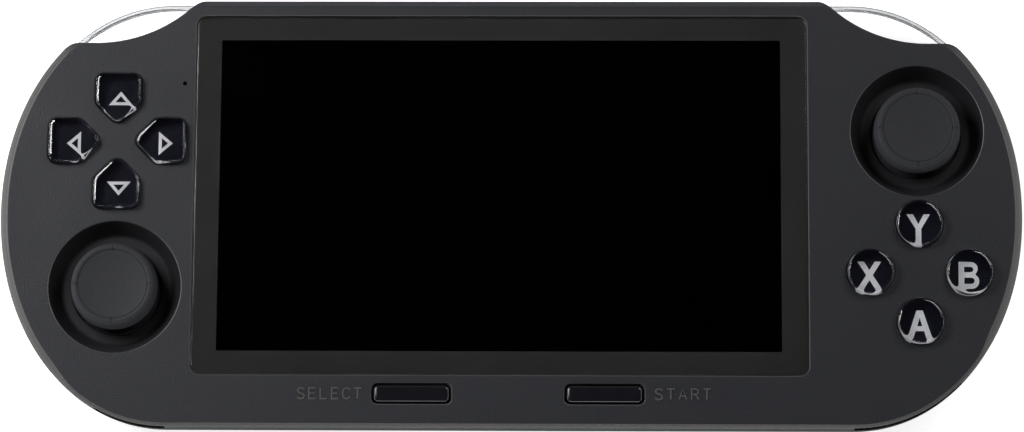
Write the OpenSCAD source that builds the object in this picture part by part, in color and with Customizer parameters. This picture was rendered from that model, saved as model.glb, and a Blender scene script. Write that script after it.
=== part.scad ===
// Handheld game console with a wide screen, two thumb sticks, a direction pad,
// four action buttons, two menu keys and clear shoulder buttons. It lies on its back.
// Sizes are in millimetres: +X right, +Y towards the shoulder edge, +Z out of the screen.

/* [Body] */
// overall width across the grips
body_w = 207.6; // [196:0.2:220]
// overall height from the bottom edge to the shoulder edge
body_h = 88.4; // [86:0.2:96]
// thickness from the rest face to the face
body_t = 18; // [17.5:0.1:21]
// width of the left grip, from its end to the window
left_grip = 39.42; // [36:0.02:44]
// width of the right grip, from its end to the window
right_grip = 43.38; // [40:0.02:48]
// face left above the window
top_border = 3.48; // [3:0.02:6]
// face left below the window, for the menu keys
chin = 10.62; // [10:0.02:14]
// width of each rounded grip end
end_w = 34.5; // [32:0.5:38]
// how square the rounded ends are, 2 is an ellipse
end_power = 2.05; // [2:0.05:2.4]
// width of the bevel round the face
bevel_w = 1.45; // [0.8:0.05:1.8]
// how far the rounded back edge comes in at the rest face
back_round = 8.5; // [6:0.5:10]
// height where the back edge starts to round
crown_z = 14.5; // [13:0.5:15.5]
// side wall thickness
wall = 2.2; // [1.8:0.1:2.6]
// face thickness
face_t = 2; // [1.8:0.1:2.4]
// rear floor thickness
floor_t = 1.8; // [1.5:0.1:2.4]

/* [Display] */
// window border left and right of the picture
border_w = 5.3; // [4.6:0.05:8]
// window border above and below the picture
border_h = 4.95; // [4.4:0.05:8]
// window corner radius
window_r = 2; // [1:0.1:4]
// window thickness
window_t = 0.9; // [0.6:0.05:1]
// adhesive thickness
adhesive_t = 0.2; // [0.1:0.05:0.3]
// display panel thickness
panel_t = 4; // [3.5:0.1:4.5]

/* [Thumb sticks] */
// left stick centre, out from the window
left_stick_out = 15.62; // [15:0.02:17]
// left stick centre, below the top edge
left_stick_drop = 59.9; // [59.5:0.1:62]
// right stick centre, in from the right end
right_stick_in = 21.2; // [21:0.1:23]
// right stick centre, below the top edge
right_stick_drop = 27.4; // [27:0.1:28]
// dish radius at the face
dish_r = 13.15; // [12.9:0.05:13.4]
// dish depth below the face
dish_depth = 4.3; // [4:0.1:4.6]
// stick pivot below the face
pivot_depth = 11; // [10.9:0.05:11.2]
// radius of the cap
cap_r = 8.75; // [8:0.05:8.9]
// height of the cap rim above the face
cap_rise = 3.5; // [3:0.1:4]
// radius of the dome under the cap
dome_r = 10.6; // [10.4:0.05:10.7]
// radius of the stick shaft
shaft_r = 1.5; // [1.3:0.05:1.6]

/* [Keys] */
// direction pad centre, out from the window
dpad_out = 15.72; // [15.5:0.02:17]
// direction pad centre, below the top edge
dpad_drop = 29.7; // [29.2:0.1:30]
// direction key width
dpad_key_w = 9.3; // [8.4:0.1:9.6]
// direction key outer edge from the pad centre
dpad_reach = 14; // [13.4:0.1:14.2]
// direction key point from the pad centre
dpad_point = 3.2; // [2.8:0.1:4]
// action button cluster centre, in from the right end
action_in = 20.95; // [20:0.05:22]
// action button cluster centre, below the top edge
action_drop = 56.6; // [56.2:0.1:58]
// action buttons from the cluster centre
action_reach = 10; // [9.6:0.1:10.4]
// action button radius
action_r = 4.65; // [4.2:0.05:4.7]
// height of the direction and action keys above the face
key_rise = 2; // [1.6:0.1:2.6]
// press of the direction and action keys
key_travel = 0.9; // [0.5:0.05:0.95]
// select key centre, from the middle
select_x = -19.6; // [-24:0.1:-18]
// start key centre, from the middle
start_x = 19.25; // [18:0.05:24]
// menu key centres, from the bottom edge
menu_up = 6.8; // [6.6:0.1:7.2]
// menu key length
menu_w = 15.2; // [12:0.1:16]
// menu key height on the face
menu_h = 3.4; // [3:0.1:3.8]

/* [Shoulder buttons] */
// radius of the hollow shoulder curve
notch_r = 29; // [27:0.5:31]
// where the hollow curve turns level, in from each end
notch_in = 18.8; // [18:0.1:20]
// depth of the shoulder cut from the top edge
notch_depth = 9.05; // [8.6:0.05:9.4]
// pivot pin of each shoulder button, in from the end
shoulder_pivot_in = 37.8; // [36.8:0.1:38.2]
// pivot pin of each shoulder button, below the top edge
shoulder_pivot_down = 7; // [6.8:0.1:7.4]
// pivot pin radius
shoulder_pin_r = 1; // [0.8:0.05:1.2]
// wall of the clear button
clear_wall = 1.1; // [0.8:0.1:1.4]

/* [Top edge] */
// headphone socket centre, from the middle
jack_x = 48; // [40:0.5:52]
// headphone plug radius
jack_r = 1.8; // [1.75:0.01:1.85]
// charging port centre, from the middle
usb_x = 30; // [26:0.5:34]
// card slot centre, from the middle
card_x = 8; // [4:0.5:12]
// power switch centre, from the middle
power_x = -14; // [-18:0.5:-12]
// travel of the power knob
power_travel = 4; // [2:0.5:5]
// volume down key centre, from the middle
volume_x = -46; // [-50:0.5:-42]
// spacing of the two volume keys
volume_pitch = 12; // [10:0.5:14]

/* [Fits] */
// gap round each key
key_gap = 0.25; // [0.2:0.05:0.4]
// running clearance of a pin in its bore
run_gap = 0.04; // [0.02:0.01:0.08]
// gap round pieces seated in the casing
seat_gap = 0.15; // [0.1:0.05:0.3]

/* [Hidden] */
$fn = 64;
eps = 0.01;
arc_steps = 12;
corner_steps = 5;
half_w = body_w / 2;
half_h = body_h / 2;
end_x = half_w - end_w;
window_w = body_w - left_grip - right_grip;
window_h = body_h - top_border - chin;
window_x = (left_grip - right_grip) / 2;
window_y = (chin - top_border) / 2;
window_left = window_x - window_w / 2;
active_w = window_w - 2 * border_w;
active_h = window_h - 2 * border_h;
ceiling_z = body_t - face_t;
bevel_z = body_t - bevel_w;
gasket_t = 0.2;
tray_t = 0.8;
board_t = 1.2;
board_top = ceiling_z - gasket_t - panel_t - tray_t;
board_bottom = board_top - board_t;
parting_z = board_bottom - 0.3;
panel_top = ceiling_z - gasket_t;
panel_bottom = panel_top - panel_t;
panel_lip = 1.5;
panel_w = active_w + 2 * panel_lip;
panel_h = active_h + 2 * panel_lip;
opening_w = active_w + 1.2;
opening_h = active_h + 1.2;
recess_z = body_t - 0.1 - window_t - adhesive_t;
cavity_inset = side_inset(parting_z) + wall;
board_inset = cavity_inset + 1.2;
key_bottom = ceiling_z - 1;
key_flange_top = ceiling_z - 0.1;
key_flange = 0.7;
key_top = body_t + key_rise;
menu_y = menu_up - half_h;
menu_top = body_t + 0.4;
menu_recess = 0.5;
menu_travel = 0.6;
left_stick = [window_left - left_stick_out, half_h - left_stick_drop];
right_stick = [half_w - right_stick_in, half_h - right_stick_drop];
sticks = [left_stick, right_stick];
dpad_c = [window_left - dpad_out, half_h - dpad_drop];
action_c = [half_w - action_in, half_h - action_drop];
action_at = [for (a = [0, 90, 180, 270]) action_c + action_reach * [cos(a), sin(a)]];
menu_at = [[select_x, menu_y], [start_x, menu_y]];
pivot_z = body_t - pivot_depth;
dish_wall = 0.9;
dish_mid_r = dish_r - 0.75;
dish_floor_r = dish_r - 1.75;
dish_floor_z = body_t - dish_depth;
dome_t = 0.8;
dome_angle = 77;
dome_gap = 0.33;
dish_low = dish_floor_z - 0.8 - pivot_z;
dish_hole_r = sqrt(pow(dome_r + dome_gap, 2) - dish_low * dish_low);
board_hole_r = dome_r + 0.6;
cap_under = body_t + 0.5;
cap_top = body_t + cap_rise;
neck_r = 3.6;
stick_board_t = 1.2;
can_half = 6.3;
can_wall = 0.6;
can_base_z = floor_t + stick_board_t;
can_top_z = pivot_z + 2.4;
ring_x = 4.6;
ring_y = 3;
ring_t = 0.9;
ring_pin_r = 0.7;
shaft_pin_r = 0.6;
yoke_in = 4.1;
yoke_out = 5.1;
yoke_low = 3;
foot_r = shaft_r - 0.3;
foot_gap = 0.12;
notch_x = half_w - notch_in;
shoulder_pivot_x = half_w - shoulder_pivot_in;
notch_floor = half_h - notch_depth;
notch_y = notch_floor + notch_r;
notch_end = outline_x(notch_floor);
room_depth = 5.5;
shoulder_low = 8.2;
shoulder_high = ceiling_z - 0.9;
room_gap = 0.2;
web_low = board_top + 1;
web_t = 1.2;
web_depth = 3.3;
shoulder_pivot_y = half_h - shoulder_pivot_down;
eye_r = shoulder_pin_r + 1.2;
finger_x = shoulder_pivot_x + 5.7;
finger_y = notch_y - sqrt(pow(notch_r + web_depth, 2) - pow(notch_x - finger_x, 2)) - 1.5;
switch_face = finger_y - 1.7;
post_r = 1.9;
board_post_left = window_x - panel_w / 2 - 3.6;
board_post_right = window_x + panel_w / 2 + 5.4;
board_posts = [
    for (x = [board_post_left, board_post_right])
        for (y = [half_h - 12.7, 3, 24.2 - half_h])
            [x, y]
];
board_screw_r = 0.8;
case_end = half_w - 11.8;
case_side = half_w - 38.8;
case_low = 16.7 - half_h;
case_posts = [
    [-case_end, dpad_c.y - 15], [case_end, action_c.y + 11.9], [-case_side, case_low], [case_side, case_low]
];
case_post_r = 2.3;
case_screw_r = 1;
case_head_r = 1.9;
case_seat_z = 4;
edge_z = board_bottom - 1.7;
edge_wall_in = half_h - side_inset(edge_z) - wall;
edge_wall_out = half_h - side_inset(edge_z);
knob_out = edge_wall_out + 0.5;
jack_z = board_bottom - 3.3;
jack_low = jack_z - 2.7;
jack_mouth = edge_wall_out - 0.4;
jack_length = 13.1;
mic_at = dpad_c + [13.5, 12];
speaker_at = [half_w - 49.8, 8.2 - half_h];
speaker_size = [16, 7, 4];
slot_span = [half_w - 32.8, half_w - 18.3];
ribbon_half = 10;
battery_w = 86;
battery_h = 46;
battery_y = 35.2 - half_h;

// how far the side has come in at a height, a quarter ellipse below the crown
function side_inset(z) =
    z >= crown_z ? 0 : back_round * (1 - sqrt(1 - pow((crown_z - z) / crown_z, 2)));

// where a piece that stands at a height meets the inside of the top wall
function wall_face(z) = half_h - side_inset(z) - wall - seat_gap;

// signed power, for the rounded ends
function spow(v, p) = sign(v) * pow(abs(v), p);

// half width of the outline at a height on the face
function outline_x(y) = end_x + end_w * pow(1 - pow(abs(y) / half_h, end_power), 1 / end_power);

// one point of the outline, drawn in by an inset
function outline_point(inset, t, cx) = [
    cx + (end_w - inset) * spow(cos(t), 2 / end_power),
    (half_h - inset) * spow(sin(t), 2 / end_power)
];

// the whole outline: level edges with rounded ends
function outline(inset) = [
    for (q = [0 : 3])
        for (k = [0 : arc_steps - (q % 2)])
            outline_point(inset, 90 * (q + k / arc_steps), (q == 0 || q == 3) ? end_x : -end_x)
];

function at_height(points, z) = [for (p = points) [p.x, p.y, z]];

function arc_points(c, r, a0, a1) = [
    for (i = [0 : corner_steps])
        let (a = a0 + (a1 - a0) * i / corner_steps)
            c + r * [cos(a), sin(a)]
];

// a rectangle with rounded corners
function rounded(w, h, r) = concat(
    arc_points([w / 2 - r, h / 2 - r], r, 0, 90),
    arc_points([r - w / 2, h / 2 - r], r, 90, 180),
    arc_points([r - w / 2, r - h / 2], r, 180, 270),
    arc_points([w / 2 - r, r - h / 2], r, 270, 360)
);

function unit(v) = v / norm(v);

// one rounded corner between two edges
function corner(p, a, b, r) =
    let (
        u = unit(a - p),
        v = unit(b - p),
        half = acos(u * v) / 2,
        c = p + unit(u + v) * (r / sin(half)),
        s = p + u * (r / tan(half)) - c,
        start = atan2(s.y, s.x)
    )
    arc_points(c, r, start, start + 180 - 2 * half);

function round_corners(points, r) = [
    for (i = [0 : len(points) - 1])
        let (n = len(points))
            each corner(points[i], points[(i + n - 1) % n], points[(i + 1) % n], r)
];

// the plate of one direction key, point towards the pad centre
function key_plate(inset) =
    let (
        w = dpad_key_w / 2 - inset,
        o = dpad_reach - inset,
        t = dpad_point + inset * sqrt(2)
    )
    round_corners([[w, o], [-w, o], [-w, t + w], [0, t], [w, t + w]], max(1.2 - inset, 0.3));

// a closed skin through rings of equal count, lowest ring first
module loft(rings) {
    n = len(rings[0]);
    m = len(rings);
    sides = [
        for (j = [0 : m - 2])
            for (i = [0 : n - 1])
                let (a = j * n + i, b = j * n + (i + 1) % n)
                    each [[a, a + n, b + n], [a, b + n, b]]
    ];
    low = [for (i = [0 : n - 1]) i];
    high = [for (i = [n - 1 : -1 : 0]) (m - 1) * n + i];
    polyhedron(points = [for (r = rings) each r], faces = concat([low], sides, [high]));
}

// a straight block between two heights from an outline
module slab(points, low, high) {
    translate([0, 0, low])
        linear_extrude(height = high - low)
            polygon(points);
}

// a box given by its ranges
module block(x, y, z) {
    translate([x[0], y[0], z[0]])
        cube([x[1] - x[0], y[1] - y[0], z[1] - z[0]]);
}

// a round bar between two heights
module bar(at, r, low, high) {
    translate([at.x, at.y, low])
        cylinder(r = r, h = high - low);
}

// the hollow shoulder shape of the right side, grown by a margin
function notch_points(grow) = concat(
    [
        for (i = [0 : 18])
            let (a = 180 + 5 * i)
                [notch_x, notch_y] + (notch_r + grow) * [cos(a), sin(a)]
    ],
    [[half_w + 5, notch_floor - grow], [half_w + 5, notch_y]]
);

// the hollow shoulder shape on one side
module notch(side, grow, low, high) {
    slab([for (p = notch_points(grow)) [side * p.x, p.y]], low, high);
}

// the space behind the shoulder opening, in which the button swings
module shoulder_room(side) {
    low = shoulder_low - room_gap;
    high = shoulder_high + room_gap;
    inner = shoulder_pivot_x - eye_r - 0.2;
    span = side > 0 ? [inner, notch_end + 0.1] : [-notch_end - 0.1, -inner];
    intersection() {
        notch(side, room_depth, low, high);
        block(span, [0, half_h + 5], [low, high]);
    }
}

// sockets for the shoulder pins under the face
module pin_boss(side) {
    bar([side * shoulder_pivot_x, shoulder_pivot_y], eye_r, web_low + web_t + 0.3, ceiling_z + eps);
}

// the hollow of a stick dish
module dish_hollow() {
    rotate_extrude()
        polygon([
            [0, body_t + 1], [dish_r + 0.3, body_t + 1], [dish_r + 0.3, body_t], [dish_r, body_t - 0.3],
            [dish_mid_r, ceiling_z], [dish_floor_r, dish_floor_z], [0, dish_floor_z]
        ]);
}

// slots in the lower corners of the side wall, for the sound
module sound_slot(side) {
    low = crown_z - 1.5;
    high = crown_z - 0.3;
    intersection() {
        difference() {
            slab(outline(-1), low, high);
            slab(outline(cavity_inset + 1), low - eps, high + eps);
        }
        block(
            side > 0 ? slot_span : [-slot_span[1], -slot_span[0]],
            [-half_h - 2, 0],
            [low - 1, high + 1]
        );
    }
}

module front_body() {
    difference() {
        loft([
            at_height(outline(side_inset(parting_z)), parting_z),
            at_height(outline(side_inset(12)), 12),
            at_height(outline(0), crown_z),
            at_height(outline(0), bevel_z),
            at_height(outline(bevel_w), body_t)
        ]);
        difference() {
            slab(outline(cavity_inset), parting_z - 1, ceiling_z);
            for (side = [-1, 1])
                notch(side, 2, shoulder_high + room_gap, body_t);
        }
        for (side = [-1, 1]) {
            notch(side, 0, parting_z - 1, body_t + 1);
            shoulder_room(side);
            sound_slot(side);
        }
    }
}

module front_shell() {
    color("#3b3b3d")
    difference() {
        union() {
            front_body();
            for (s = sticks)
                bar(s, dish_mid_r + dish_wall, dish_floor_z - 0.8, ceiling_z + 0.2);
            for (p = board_posts)
                bar(p, post_r, board_top, ceiling_z + 0.2);
            for (p = case_posts)
                bar(p, case_post_r, parting_z, ceiling_z + 0.2);
            for (side = [-1, 1])
                pin_boss(side);
        }
        translate([window_x, window_y, 0]) {
            slab(rounded(window_w, window_h, window_r), recess_z, body_t + 1);
            block([-opening_w / 2, opening_w / 2], [-opening_h / 2, opening_h / 2], [ceiling_z - 1, body_t]);
        }
        for (s = sticks) {
            translate([s.x, s.y, 0])
                dish_hollow();
            bar(s, dish_hole_r, dish_floor_z - 2, dish_floor_z + 1);
        }
        translate([dpad_c.x, dpad_c.y, 0])
            for (a = [0, 90, 180, 270])
                rotate([0, 0, a])
                    slab(key_plate(-key_gap), ceiling_z - 1, body_t + 1);
        for (p = action_at)
            bar(p, action_r + key_gap, ceiling_z - 1, body_t + 1);
        for (p = menu_at)
            translate([p.x, p.y, 0]) {
                slab(rounded(menu_w + 2 * key_gap, menu_h + 2 * key_gap, 1), ceiling_z - 1, body_t + 1);
                slab(rounded(menu_w + 1, menu_h + 0.9, 1.2), body_t - menu_recess, body_t + 1);
            }
        bar(mic_at, 0.4, ceiling_z - 1, body_t + 1);
        for (p = board_posts)
            bar(p, board_screw_r + 0.02, board_top - 1, ceiling_z - 0.5);
        for (p = case_posts)
            bar(p, case_screw_r + 0.02, parting_z - 1, ceiling_z - 1);
        for (side = [-1, 1])
            bar([side * shoulder_pivot_x, shoulder_pivot_y], shoulder_pin_r + 0.02, web_low, ceiling_z - 0.4);
    }
}

// openings of the top edge, through the rear shell
module edge_openings() {
    out = half_h + 2;
    block([usb_x - 4, usb_x + 4], [edge_wall_in - 2, out], [board_bottom - 2.75, parting_z + 1]);
    block([card_x - 6.2, card_x + 6.2], [edge_wall_in - 2, out], [board_bottom - 1.7, parting_z + 1]);
    block(
        [power_x - 2.5 - key_gap, power_x + 2.5 + power_travel + key_gap],
        [edge_wall_in - 2, out],
        [edge_z - 0.9 - key_gap, edge_z + 0.9 + key_gap]
    );
    for (x = [volume_x, volume_x + volume_pitch])
        block(
            [x - 3.5 - key_gap, x + 3.5 + key_gap],
            [edge_wall_in - 2, out],
            [edge_z - 1 - key_gap, edge_z + 1 + key_gap]
        );
    translate([jack_x, out, jack_z])
        rotate([90, 0, 0])
            cylinder(r = jack_r + 0.8, h = out - edge_wall_in + 2);
}

module rear_shell() {
    color("#323234")
    difference() {
        union() {
            difference() {
                loft([
                    for (z = [0, 0.6, 1.8, 3.6, 6, parting_z])
                        at_height(outline(side_inset(z)), z)
                ]);
                difference() {
                    loft([
                        for (z = [floor_t, 3.6, 6, parting_z + 0.1])
                            at_height(outline(side_inset(z) + wall), z)
                    ]);
                    for (side = [-1, 1])
                        notch(side, 2, -1, shoulder_low - room_gap);
                }
                for (side = [-1, 1]) {
                    notch(side, 0, -1, parting_z + 1);
                    shoulder_room(side);
                }
            }
            for (p = case_posts)
                bar(p, case_head_r + 1.1, floor_t - 0.2, parting_z);
        }
        for (p = case_posts) {
            bar(p, case_head_r + 0.2, -1, case_seat_z);
            bar(p, case_screw_r + 0.2, case_seat_z - 1, parting_z + 1);
        }
        edge_openings();
    }
}

module case_screws() {
    color("#8a8a8e")
    for (p = case_posts) {
        bar(p, case_head_r, case_seat_z - 1.4, case_seat_z);
        bar(p, case_screw_r, case_seat_z - eps, ceiling_z - 2);
    }
}

module board_screws() {
    color("#8a8a8e")
    for (p = board_posts) {
        bar(p, 1.5, board_bottom - 0.8, board_bottom);
        bar(p, board_screw_r, board_bottom - eps, ceiling_z - 1);
    }
}

module display_window() {
    color("#28282a")
    translate([window_x, window_y, 0])
        slab(
            rounded(window_w - 2 * seat_gap, window_h - 2 * seat_gap, window_r - seat_gap),
            recess_z + adhesive_t,
            recess_z + adhesive_t + window_t
        );
}

module window_adhesive() {
    color("#111111")
    translate([window_x, window_y, 0])
        difference() {
            slab(rounded(window_w - 1.6, window_h - 1.6, 1.2), recess_z, recess_z + adhesive_t);
            slab(rounded(opening_w + 1, opening_h + 1, 0.5), recess_z - 1, recess_z + 1);
        }
}

module lcd_gasket() {
    color("#1a1a1a")
    translate([window_x, window_y, 0])
        difference() {
            slab(rounded(panel_w, panel_h, 0.5), panel_top, ceiling_z);
            block([-opening_w / 2, opening_w / 2], [-opening_h / 2, opening_h / 2], [panel_top - 1, body_t]);
        }
}

module lcd_panel() {
    color("#060606")
    translate([window_x, window_y, 0])
        slab(rounded(panel_w, panel_h, 0.5), panel_bottom, panel_top);
}

module lcd_tray() {
    w = panel_w / 2;
    h = panel_h / 2;
    color("#a8a8ac")
    translate([window_x, window_y, 0])
        difference() {
            block([-w - tray_t, w + tray_t], [-h - tray_t, h + tray_t], [board_top, panel_top - 0.4]);
            block([-w - 0.1, w + 0.1], [-h - 0.1, h + 0.1], [panel_bottom, body_t]);
            block([-ribbon_half - 2, ribbon_half + 2], [-h - 2, 0], [panel_bottom + 0.4, body_t]);
        }
}

module display_ribbon() {
    y = window_y - panel_h / 2;
    color("#b87a2a")
    translate([window_x, 0, 0]) {
        block([-ribbon_half, ribbon_half], [y - 2.2, y], [panel_bottom + 0.6, panel_bottom + 0.8]);
        block([-ribbon_half, ribbon_half], [y - 2.2, y - 2], [board_top + 0.9, panel_bottom + 0.7]);
        block([-ribbon_half - 1, ribbon_half + 1], [y - 2.9, y - 1.4], [board_top, board_top + 1]);
    }
}

module main_board() {
    color("#1f4d2e")
    difference() {
        slab(outline(board_inset), board_bottom, board_top);
        for (side = [-1, 1])
            notch(side, 1.5, board_bottom - 1, board_top + 1);
        for (s = sticks)
            bar(s, board_hole_r, board_bottom - 1, board_top + 1);
        for (p = case_posts)
            bar(p, case_post_r + 0.3, board_bottom - 1, board_top + 1);
        for (p = board_posts)
            bar(p, board_screw_r + 0.1, board_bottom - 1, board_top + 1);
    }
}

module board_chips() {
    z = [board_bottom - 1.1, board_bottom];
    color("#202022") {
        block([-24, -10], [6, 20], z);
        block([-4, 8], [8, 18], z);
        block([14, 32], [4, 16], z);
        block([-40, -34], [10, 16], z);
        block([-54, -50], [-24, -20], z);
        block([40, 45], [-6, -1], z);
    }
}

module battery() {
    color("#c9c9cd")
    translate([0, battery_y, 0])
        slab(rounded(battery_w, battery_h, 2.5), floor_t, board_bottom - 2.5);
}

module speaker(side) {
    x = side * speaker_at.x;
    y = speaker_at.y;
    w = speaker_size.x / 2;
    h = speaker_size.y / 2;
    z = ceiling_z - speaker_size.z;
    difference() {
        block([x - w, x + w], [y - h, y + h], [z, ceiling_z]);
        translate([x, y, 0])
            slab(rounded(w * 2 - 3, h * 2 - 2, 2), ceiling_z - 0.8, ceiling_z + 1);
    }
}

module left_speaker() {
    color("#303033")
        speaker(-1);
}

module right_speaker() {
    color("#303033")
        speaker(1);
}

module microphone() {
    color("#b9b9bd")
        bar(mic_at, 2, ceiling_z - 2, ceiling_z);
}

module direction_key(turn) {
    translate([dpad_c.x, dpad_c.y, 0])
        rotate([0, 0, turn]) {
            slab(key_plate(-key_flange), key_bottom, key_flange_top);
            loft([
                at_height(key_plate(0), key_bottom + 0.2),
                at_height(key_plate(0), key_top - 0.7),
                at_height(key_plate(0.25), key_top - 0.25),
                at_height(key_plate(0.8), key_top)
            ]);
        }
}

module dpad_up() {
    color("#15161f")
        direction_key(0);
}

module dpad_left() {
    color("#15161f")
        direction_key(90);
}

module dpad_down() {
    color("#15161f")
        direction_key(180);
}

module dpad_right() {
    color("#15161f")
        direction_key(270);
}

// a rubber dome that carries one key, with a contact pill one press above the board
module dome(at, r, travel) {
    mid = board_top + 0.55 * (key_bottom - board_top);
    difference() {
        union() {
            translate([at.x, at.y, board_top + 0.5])
                cylinder(r1 = r + 1, r2 = r, h = mid - board_top - 0.5);
            bar(at, r, mid - eps, key_bottom - 0.1);
        }
        difference() {
            bar(at, r - 0.6, board_top - 1, mid);
            bar(at, r - 1.1, board_top + travel, mid + 1);
        }
    }
}

// a rubber sheet with its domes, joined by a web
module dome_sheet(places, dome_size, travel, centre, web) {
    difference() {
        union() {
            translate([centre.x, centre.y, 0])
                slab(rounded(web.x, web.y, 1), board_top, board_top + 0.6);
            for (p = places)
                bar(p, dome_size + 1.2, board_top, board_top + 0.6);
        }
        for (p = places)
            bar(p, dome_size - 0.6, board_top - 1, board_top + 2);
    }
    for (p = places)
        dome(p, dome_size, travel);
}

module dpad_membrane() {
    mean = (dpad_reach + dpad_point) / 2 + 0.6;
    color("#4a4a50")
        dome_sheet(
            [for (a = [0, 90, 180, 270]) dpad_c + mean * [cos(a), sin(a)]],
            2.6,
            key_travel,
            dpad_c,
            [1.4 * mean, 1.4 * mean]
        );
}

// one round action button: straight side, rounded rim, slightly domed top
module round_key(at) {
    translate([at.x, at.y, 0])
        rotate_extrude()
            polygon([
                [0, key_bottom], [action_r + key_flange, key_bottom],
                [action_r + key_flange, key_flange_top], [action_r, key_flange_top],
                [action_r, key_top - 0.9], [action_r - 0.12, key_top - 0.55],
                [action_r - 0.42, key_top - 0.28], [action_r - 0.95, key_top - 0.15],
                [action_r / 2, key_top - 0.03], [0, key_top]
            ]);
}

module action_b() {
    color("#15161f")
        round_key(action_at[0]);
}

module action_y_key() {
    color("#15161f")
        round_key(action_at[1]);
}

module action_x_key() {
    color("#15161f")
        round_key(action_at[2]);
}

module action_a() {
    color("#15161f")
        round_key(action_at[3]);
}

module action_membrane() {
    color("#4a4a50")
        dome_sheet(action_at, 2.6, key_travel, action_c, [1.4 * action_reach, 1.4 * action_reach]);
}

module menu_key(at) {
    translate([at.x, at.y, 0]) {
        slab(rounded(menu_w + 2, menu_h + 1.6, 1), key_bottom, key_flange_top);
        slab(rounded(menu_w, menu_h, 0.8), key_bottom + 0.2, menu_top - 0.2);
        slab(rounded(menu_w - 0.4, menu_h - 0.4, 0.6), key_bottom + 0.2, menu_top);
    }
}

module select_key() {
    color("#17171c")
        menu_key(menu_at[0]);
}

module start_key() {
    color("#17171c")
        menu_key(menu_at[1]);
}

module menu_membrane() {
    color("#4a4a50")
        dome_sheet(
            menu_at,
            1.6,
            menu_travel,
            [(select_x + start_x) / 2, menu_y],
            [start_x - select_x, 3]
        );
}

// the small board under a stick, wider on the two sides with sensors
module stick_board(at, side) {
    wide = can_half + 1.9;
    near = can_half + 0.4;
    low = side < 0 ? near : wide;
    high = side < 0 ? wide : near;
    block([at.x - low, at.x + high], [at.y - low, at.y + high], [floor_t, can_base_z]);
}

module left_stick_board() {
    color("#1f4d2e")
        stick_board(left_stick, -1);
}

module right_stick_board() {
    color("#1f4d2e")
        stick_board(right_stick, 1);
}

// a bar along X through the pivot
module x_bar(r, from, to) {
    translate([from, 0, 0])
        rotate([0, 90, 0])
            cylinder(r = r, h = to - from);
}

// a bar along Y through the pivot
module y_bar(r, from, to) {
    translate([0, from, 0])
        rotate([-90, 0, 0])
            cylinder(r = r, h = to - from);
}

module at_pivot(at) {
    translate([at.x, at.y, pivot_z])
        children();
}

// the metal can that holds the gimbal
module stick_can(at) {
    low = can_base_z - pivot_z;
    high = can_top_z - pivot_z;
    inner = can_half - can_wall;
    at_pivot(at)
        difference() {
            block([-can_half, can_half], [-can_half, can_half], [low, high]);
            block([-inner, inner], [-inner, inner], [low + 0.4, high + 1]);
            x_bar(ring_pin_r + run_gap, -can_half - 1, can_half + 1);
            y_bar(ring_pin_r + run_gap, -can_half - 1, can_half + 1);
        }
}

module left_stick_can() {
    color("#9a9a9e")
        stick_can(left_stick);
}

module right_stick_can() {
    color("#9a9a9e")
        stick_can(right_stick);
}

// the two position sensors on the sides of a can
module stick_sensors(at, side) {
    low = can_base_z - pivot_z;
    span = side < 0 ? [can_half, can_half + 1.5] : [-can_half - 1.5, -can_half];
    at_pivot(at) {
        block(span, [-3.2, 3.2], [low, 2.2]);
        block([-3.2, 3.2], span, [low, 2.2]);
    }
}

module left_stick_sensors() {
    color("#2c5f8a")
        stick_sensors(left_stick, -1);
}

module right_stick_sensors() {
    color("#2c5f8a")
        stick_sensors(right_stick, 1);
}

// the gimbal ring, turning about X in the can
module stick_ring(at) {
    at_pivot(at)
        difference() {
            union() {
                block([-ring_x, ring_x], [-ring_y, ring_y], [-ring_t, ring_t]);
                x_bar(ring_pin_r, -can_half, can_half);
            }
            block([-shaft_r - 0.7, shaft_r + 0.7], [-shaft_r - 0.2, shaft_r + 0.2], [-2, 2]);
            y_bar(shaft_pin_r + run_gap, -ring_y - 1, ring_y + 1);
        }
}

module left_stick_ring() {
    color("#e0e0da")
        stick_ring(left_stick);
}

module right_stick_ring() {
    color("#e0e0da")
        stick_ring(right_stick);
}

// the slotted yoke under the ring, turning about Y in the can
module stick_yoke(at) {
    at_pivot(at)
        difference() {
            union() {
                for (s = [-1, 1])
                    block([-1.2, 1.2], s > 0 ? [yoke_in, yoke_out] : [-yoke_out, -yoke_in], [-yoke_low, 1.2]);
                block([-2, 2], [-yoke_out, yoke_out], [-yoke_low, 0.8 - yoke_low]);
                y_bar(ring_pin_r, yoke_in + 0.2, can_half);
                y_bar(ring_pin_r, -can_half, -yoke_in - 0.2);
            }
            block([-foot_r - foot_gap, foot_r + foot_gap], [-foot_r - 1.1, foot_r + 1.1], [-yoke_low - 1, 0]);
        }
}

module left_stick_yoke() {
    color("#c8c8c2")
        stick_yoke(left_stick);
}

module right_stick_yoke() {
    color("#c8c8c2")
        stick_yoke(right_stick);
}

// the shaft with its cross pin and its foot in the yoke
module stick_shaft(at) {
    at_pivot(at) {
        translate([0, 0, -2])
            cylinder(r = shaft_r, h = dome_r + 1.9);
        translate([0, 0, -yoke_low - 0.2])
            cylinder(r = foot_r, h = yoke_low);
        y_bar(shaft_pin_r, -ring_y, ring_y);
    }
}

module left_stick_shaft() {
    color("#d8d8d2")
        stick_shaft(left_stick);
}

module right_stick_shaft() {
    color("#d8d8d2")
        stick_shaft(right_stick);
}

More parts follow.
